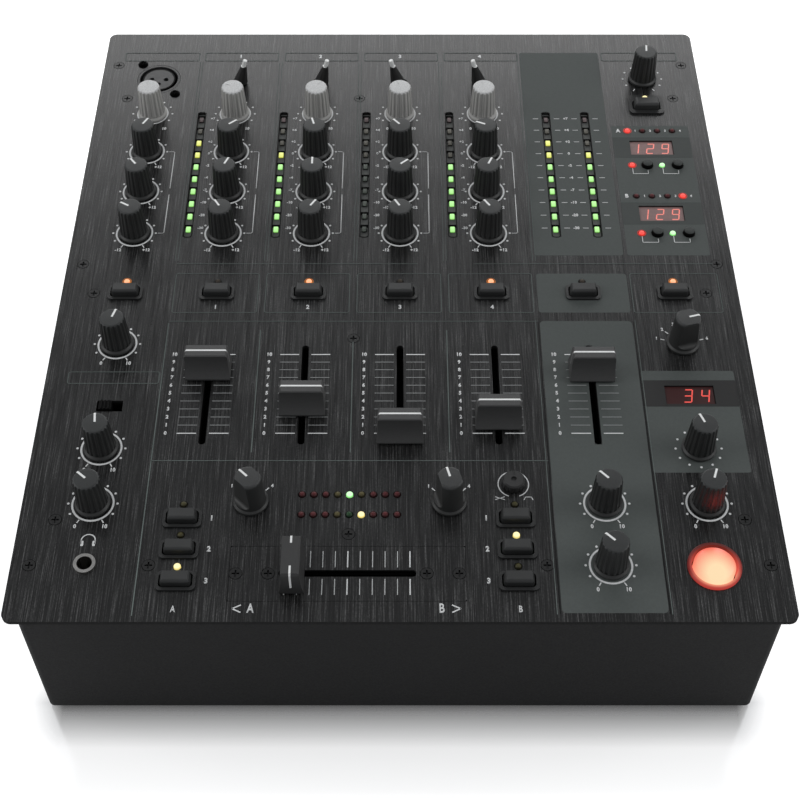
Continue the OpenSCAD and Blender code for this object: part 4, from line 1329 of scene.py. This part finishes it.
def key_light():
    """What the large lit key throws on the knob behind it."""
    lamp = bpy.data.lights.new("key_light", "SPOT")
    lamp.energy = 0.04
    lamp.color = (1.0, 0.07, 0.05)
    lamp.shadow_soft_size = 4 * MM
    lamp.spot_size = math.radians(34)
    lamp.spot_blend = 1.0
    x, y = EFFECT_KEY
    obj = stand(lamp, Vector((x + 4, y + 4, FACE + 5)) * MM)
    obj.rotation_euler = Vector((0.001, -0.03, -0.006)).to_track_quat("Z", "Y").to_euler()
    obj.visible_camera = False


class MIXER_OT_stage(Operator):
    """Sets up the floor, the light and the camera"""

    bl_idname = "mixer.stage"
    bl_label = "Stage"

    def execute(self, context):
        scene = context.scene
        settings = scene.mixer_stage
        scene.view_settings.view_transform = "Standard"
        pale_floor()
        studio_sky(settings.sky)
        soft_box("back_light", (0, 1.15, 0.66), (1.6, 0.5), settings.key)
        soft_box("left_light", (-1.1, -0.1, 0.75), (0.8, 0.8), settings.fill)
        soft_box("right_light", (1.1, -0.1, 0.75), (0.8, 0.8), settings.fill)
        key_light()
        camera_data = bpy.data.cameras.new("camera")
        camera_data.lens = settings.lens
        camera_data.sensor_width = 36
        camera_data.clip_start = 0.01
        camera_data.clip_end = 20
        camera = stand(camera_data, settings.camera)
        camera.rotation_euler = (math.pi / 2 - settings.tilt, 0, 0)
        scene.camera = camera
        return {"FINISHED"}


# --- add-on ---

STEPS = (
    MIXER_OT_case, MIXER_OT_panels, MIXER_OT_lines, MIXER_OT_scales, MIXER_OT_figures, MIXER_OT_signs,
    MIXER_OT_knobs, MIXER_OT_faders, MIXER_OT_levers, MIXER_OT_lamps, MIXER_OT_meters, MIXER_OT_displays,
    MIXER_OT_keys, MIXER_OT_stage,
)
SETTINGS = {"mixer_print": PrintSettings, "mixer_lamps": LampSettings, "mixer_stage": StageSettings}


class MIXER_PT_sidebar(Panel):
    """Lists the settings and the steps"""

    bl_idname = "MIXER_PT_sidebar"
    bl_label = "Mixer"
    bl_space_type = "VIEW_3D"
    bl_region_type = "UI"
    bl_category = "Mixer"

    def draw(self, context):
        for name, group in SETTINGS.items():
            column = self.layout.column(heading=group.__doc__)
            for key in group.__annotations__:
                column.prop(getattr(context.scene, name), key)
        for step in STEPS:
            self.layout.operator(step.bl_idname)


def register():
    for group in (*SETTINGS.values(), *STEPS, MIXER_PT_sidebar):
        bpy.utils.register_class(group)
    for name, group in SETTINGS.items():
        setattr(bpy.types.Scene, name, PointerProperty(type=group))


def unregister():
    for name in SETTINGS:
        delattr(bpy.types.Scene, name)
    for group in reversed((*SETTINGS.values(), *STEPS, MIXER_PT_sidebar)):
        bpy.utils.unregister_class(group)


def main():
    register()
    for step in STEPS:
        getattr(bpy.ops.mixer, step.bl_idname.split(".")[1])()


if __name__ == "__main__":
    main()
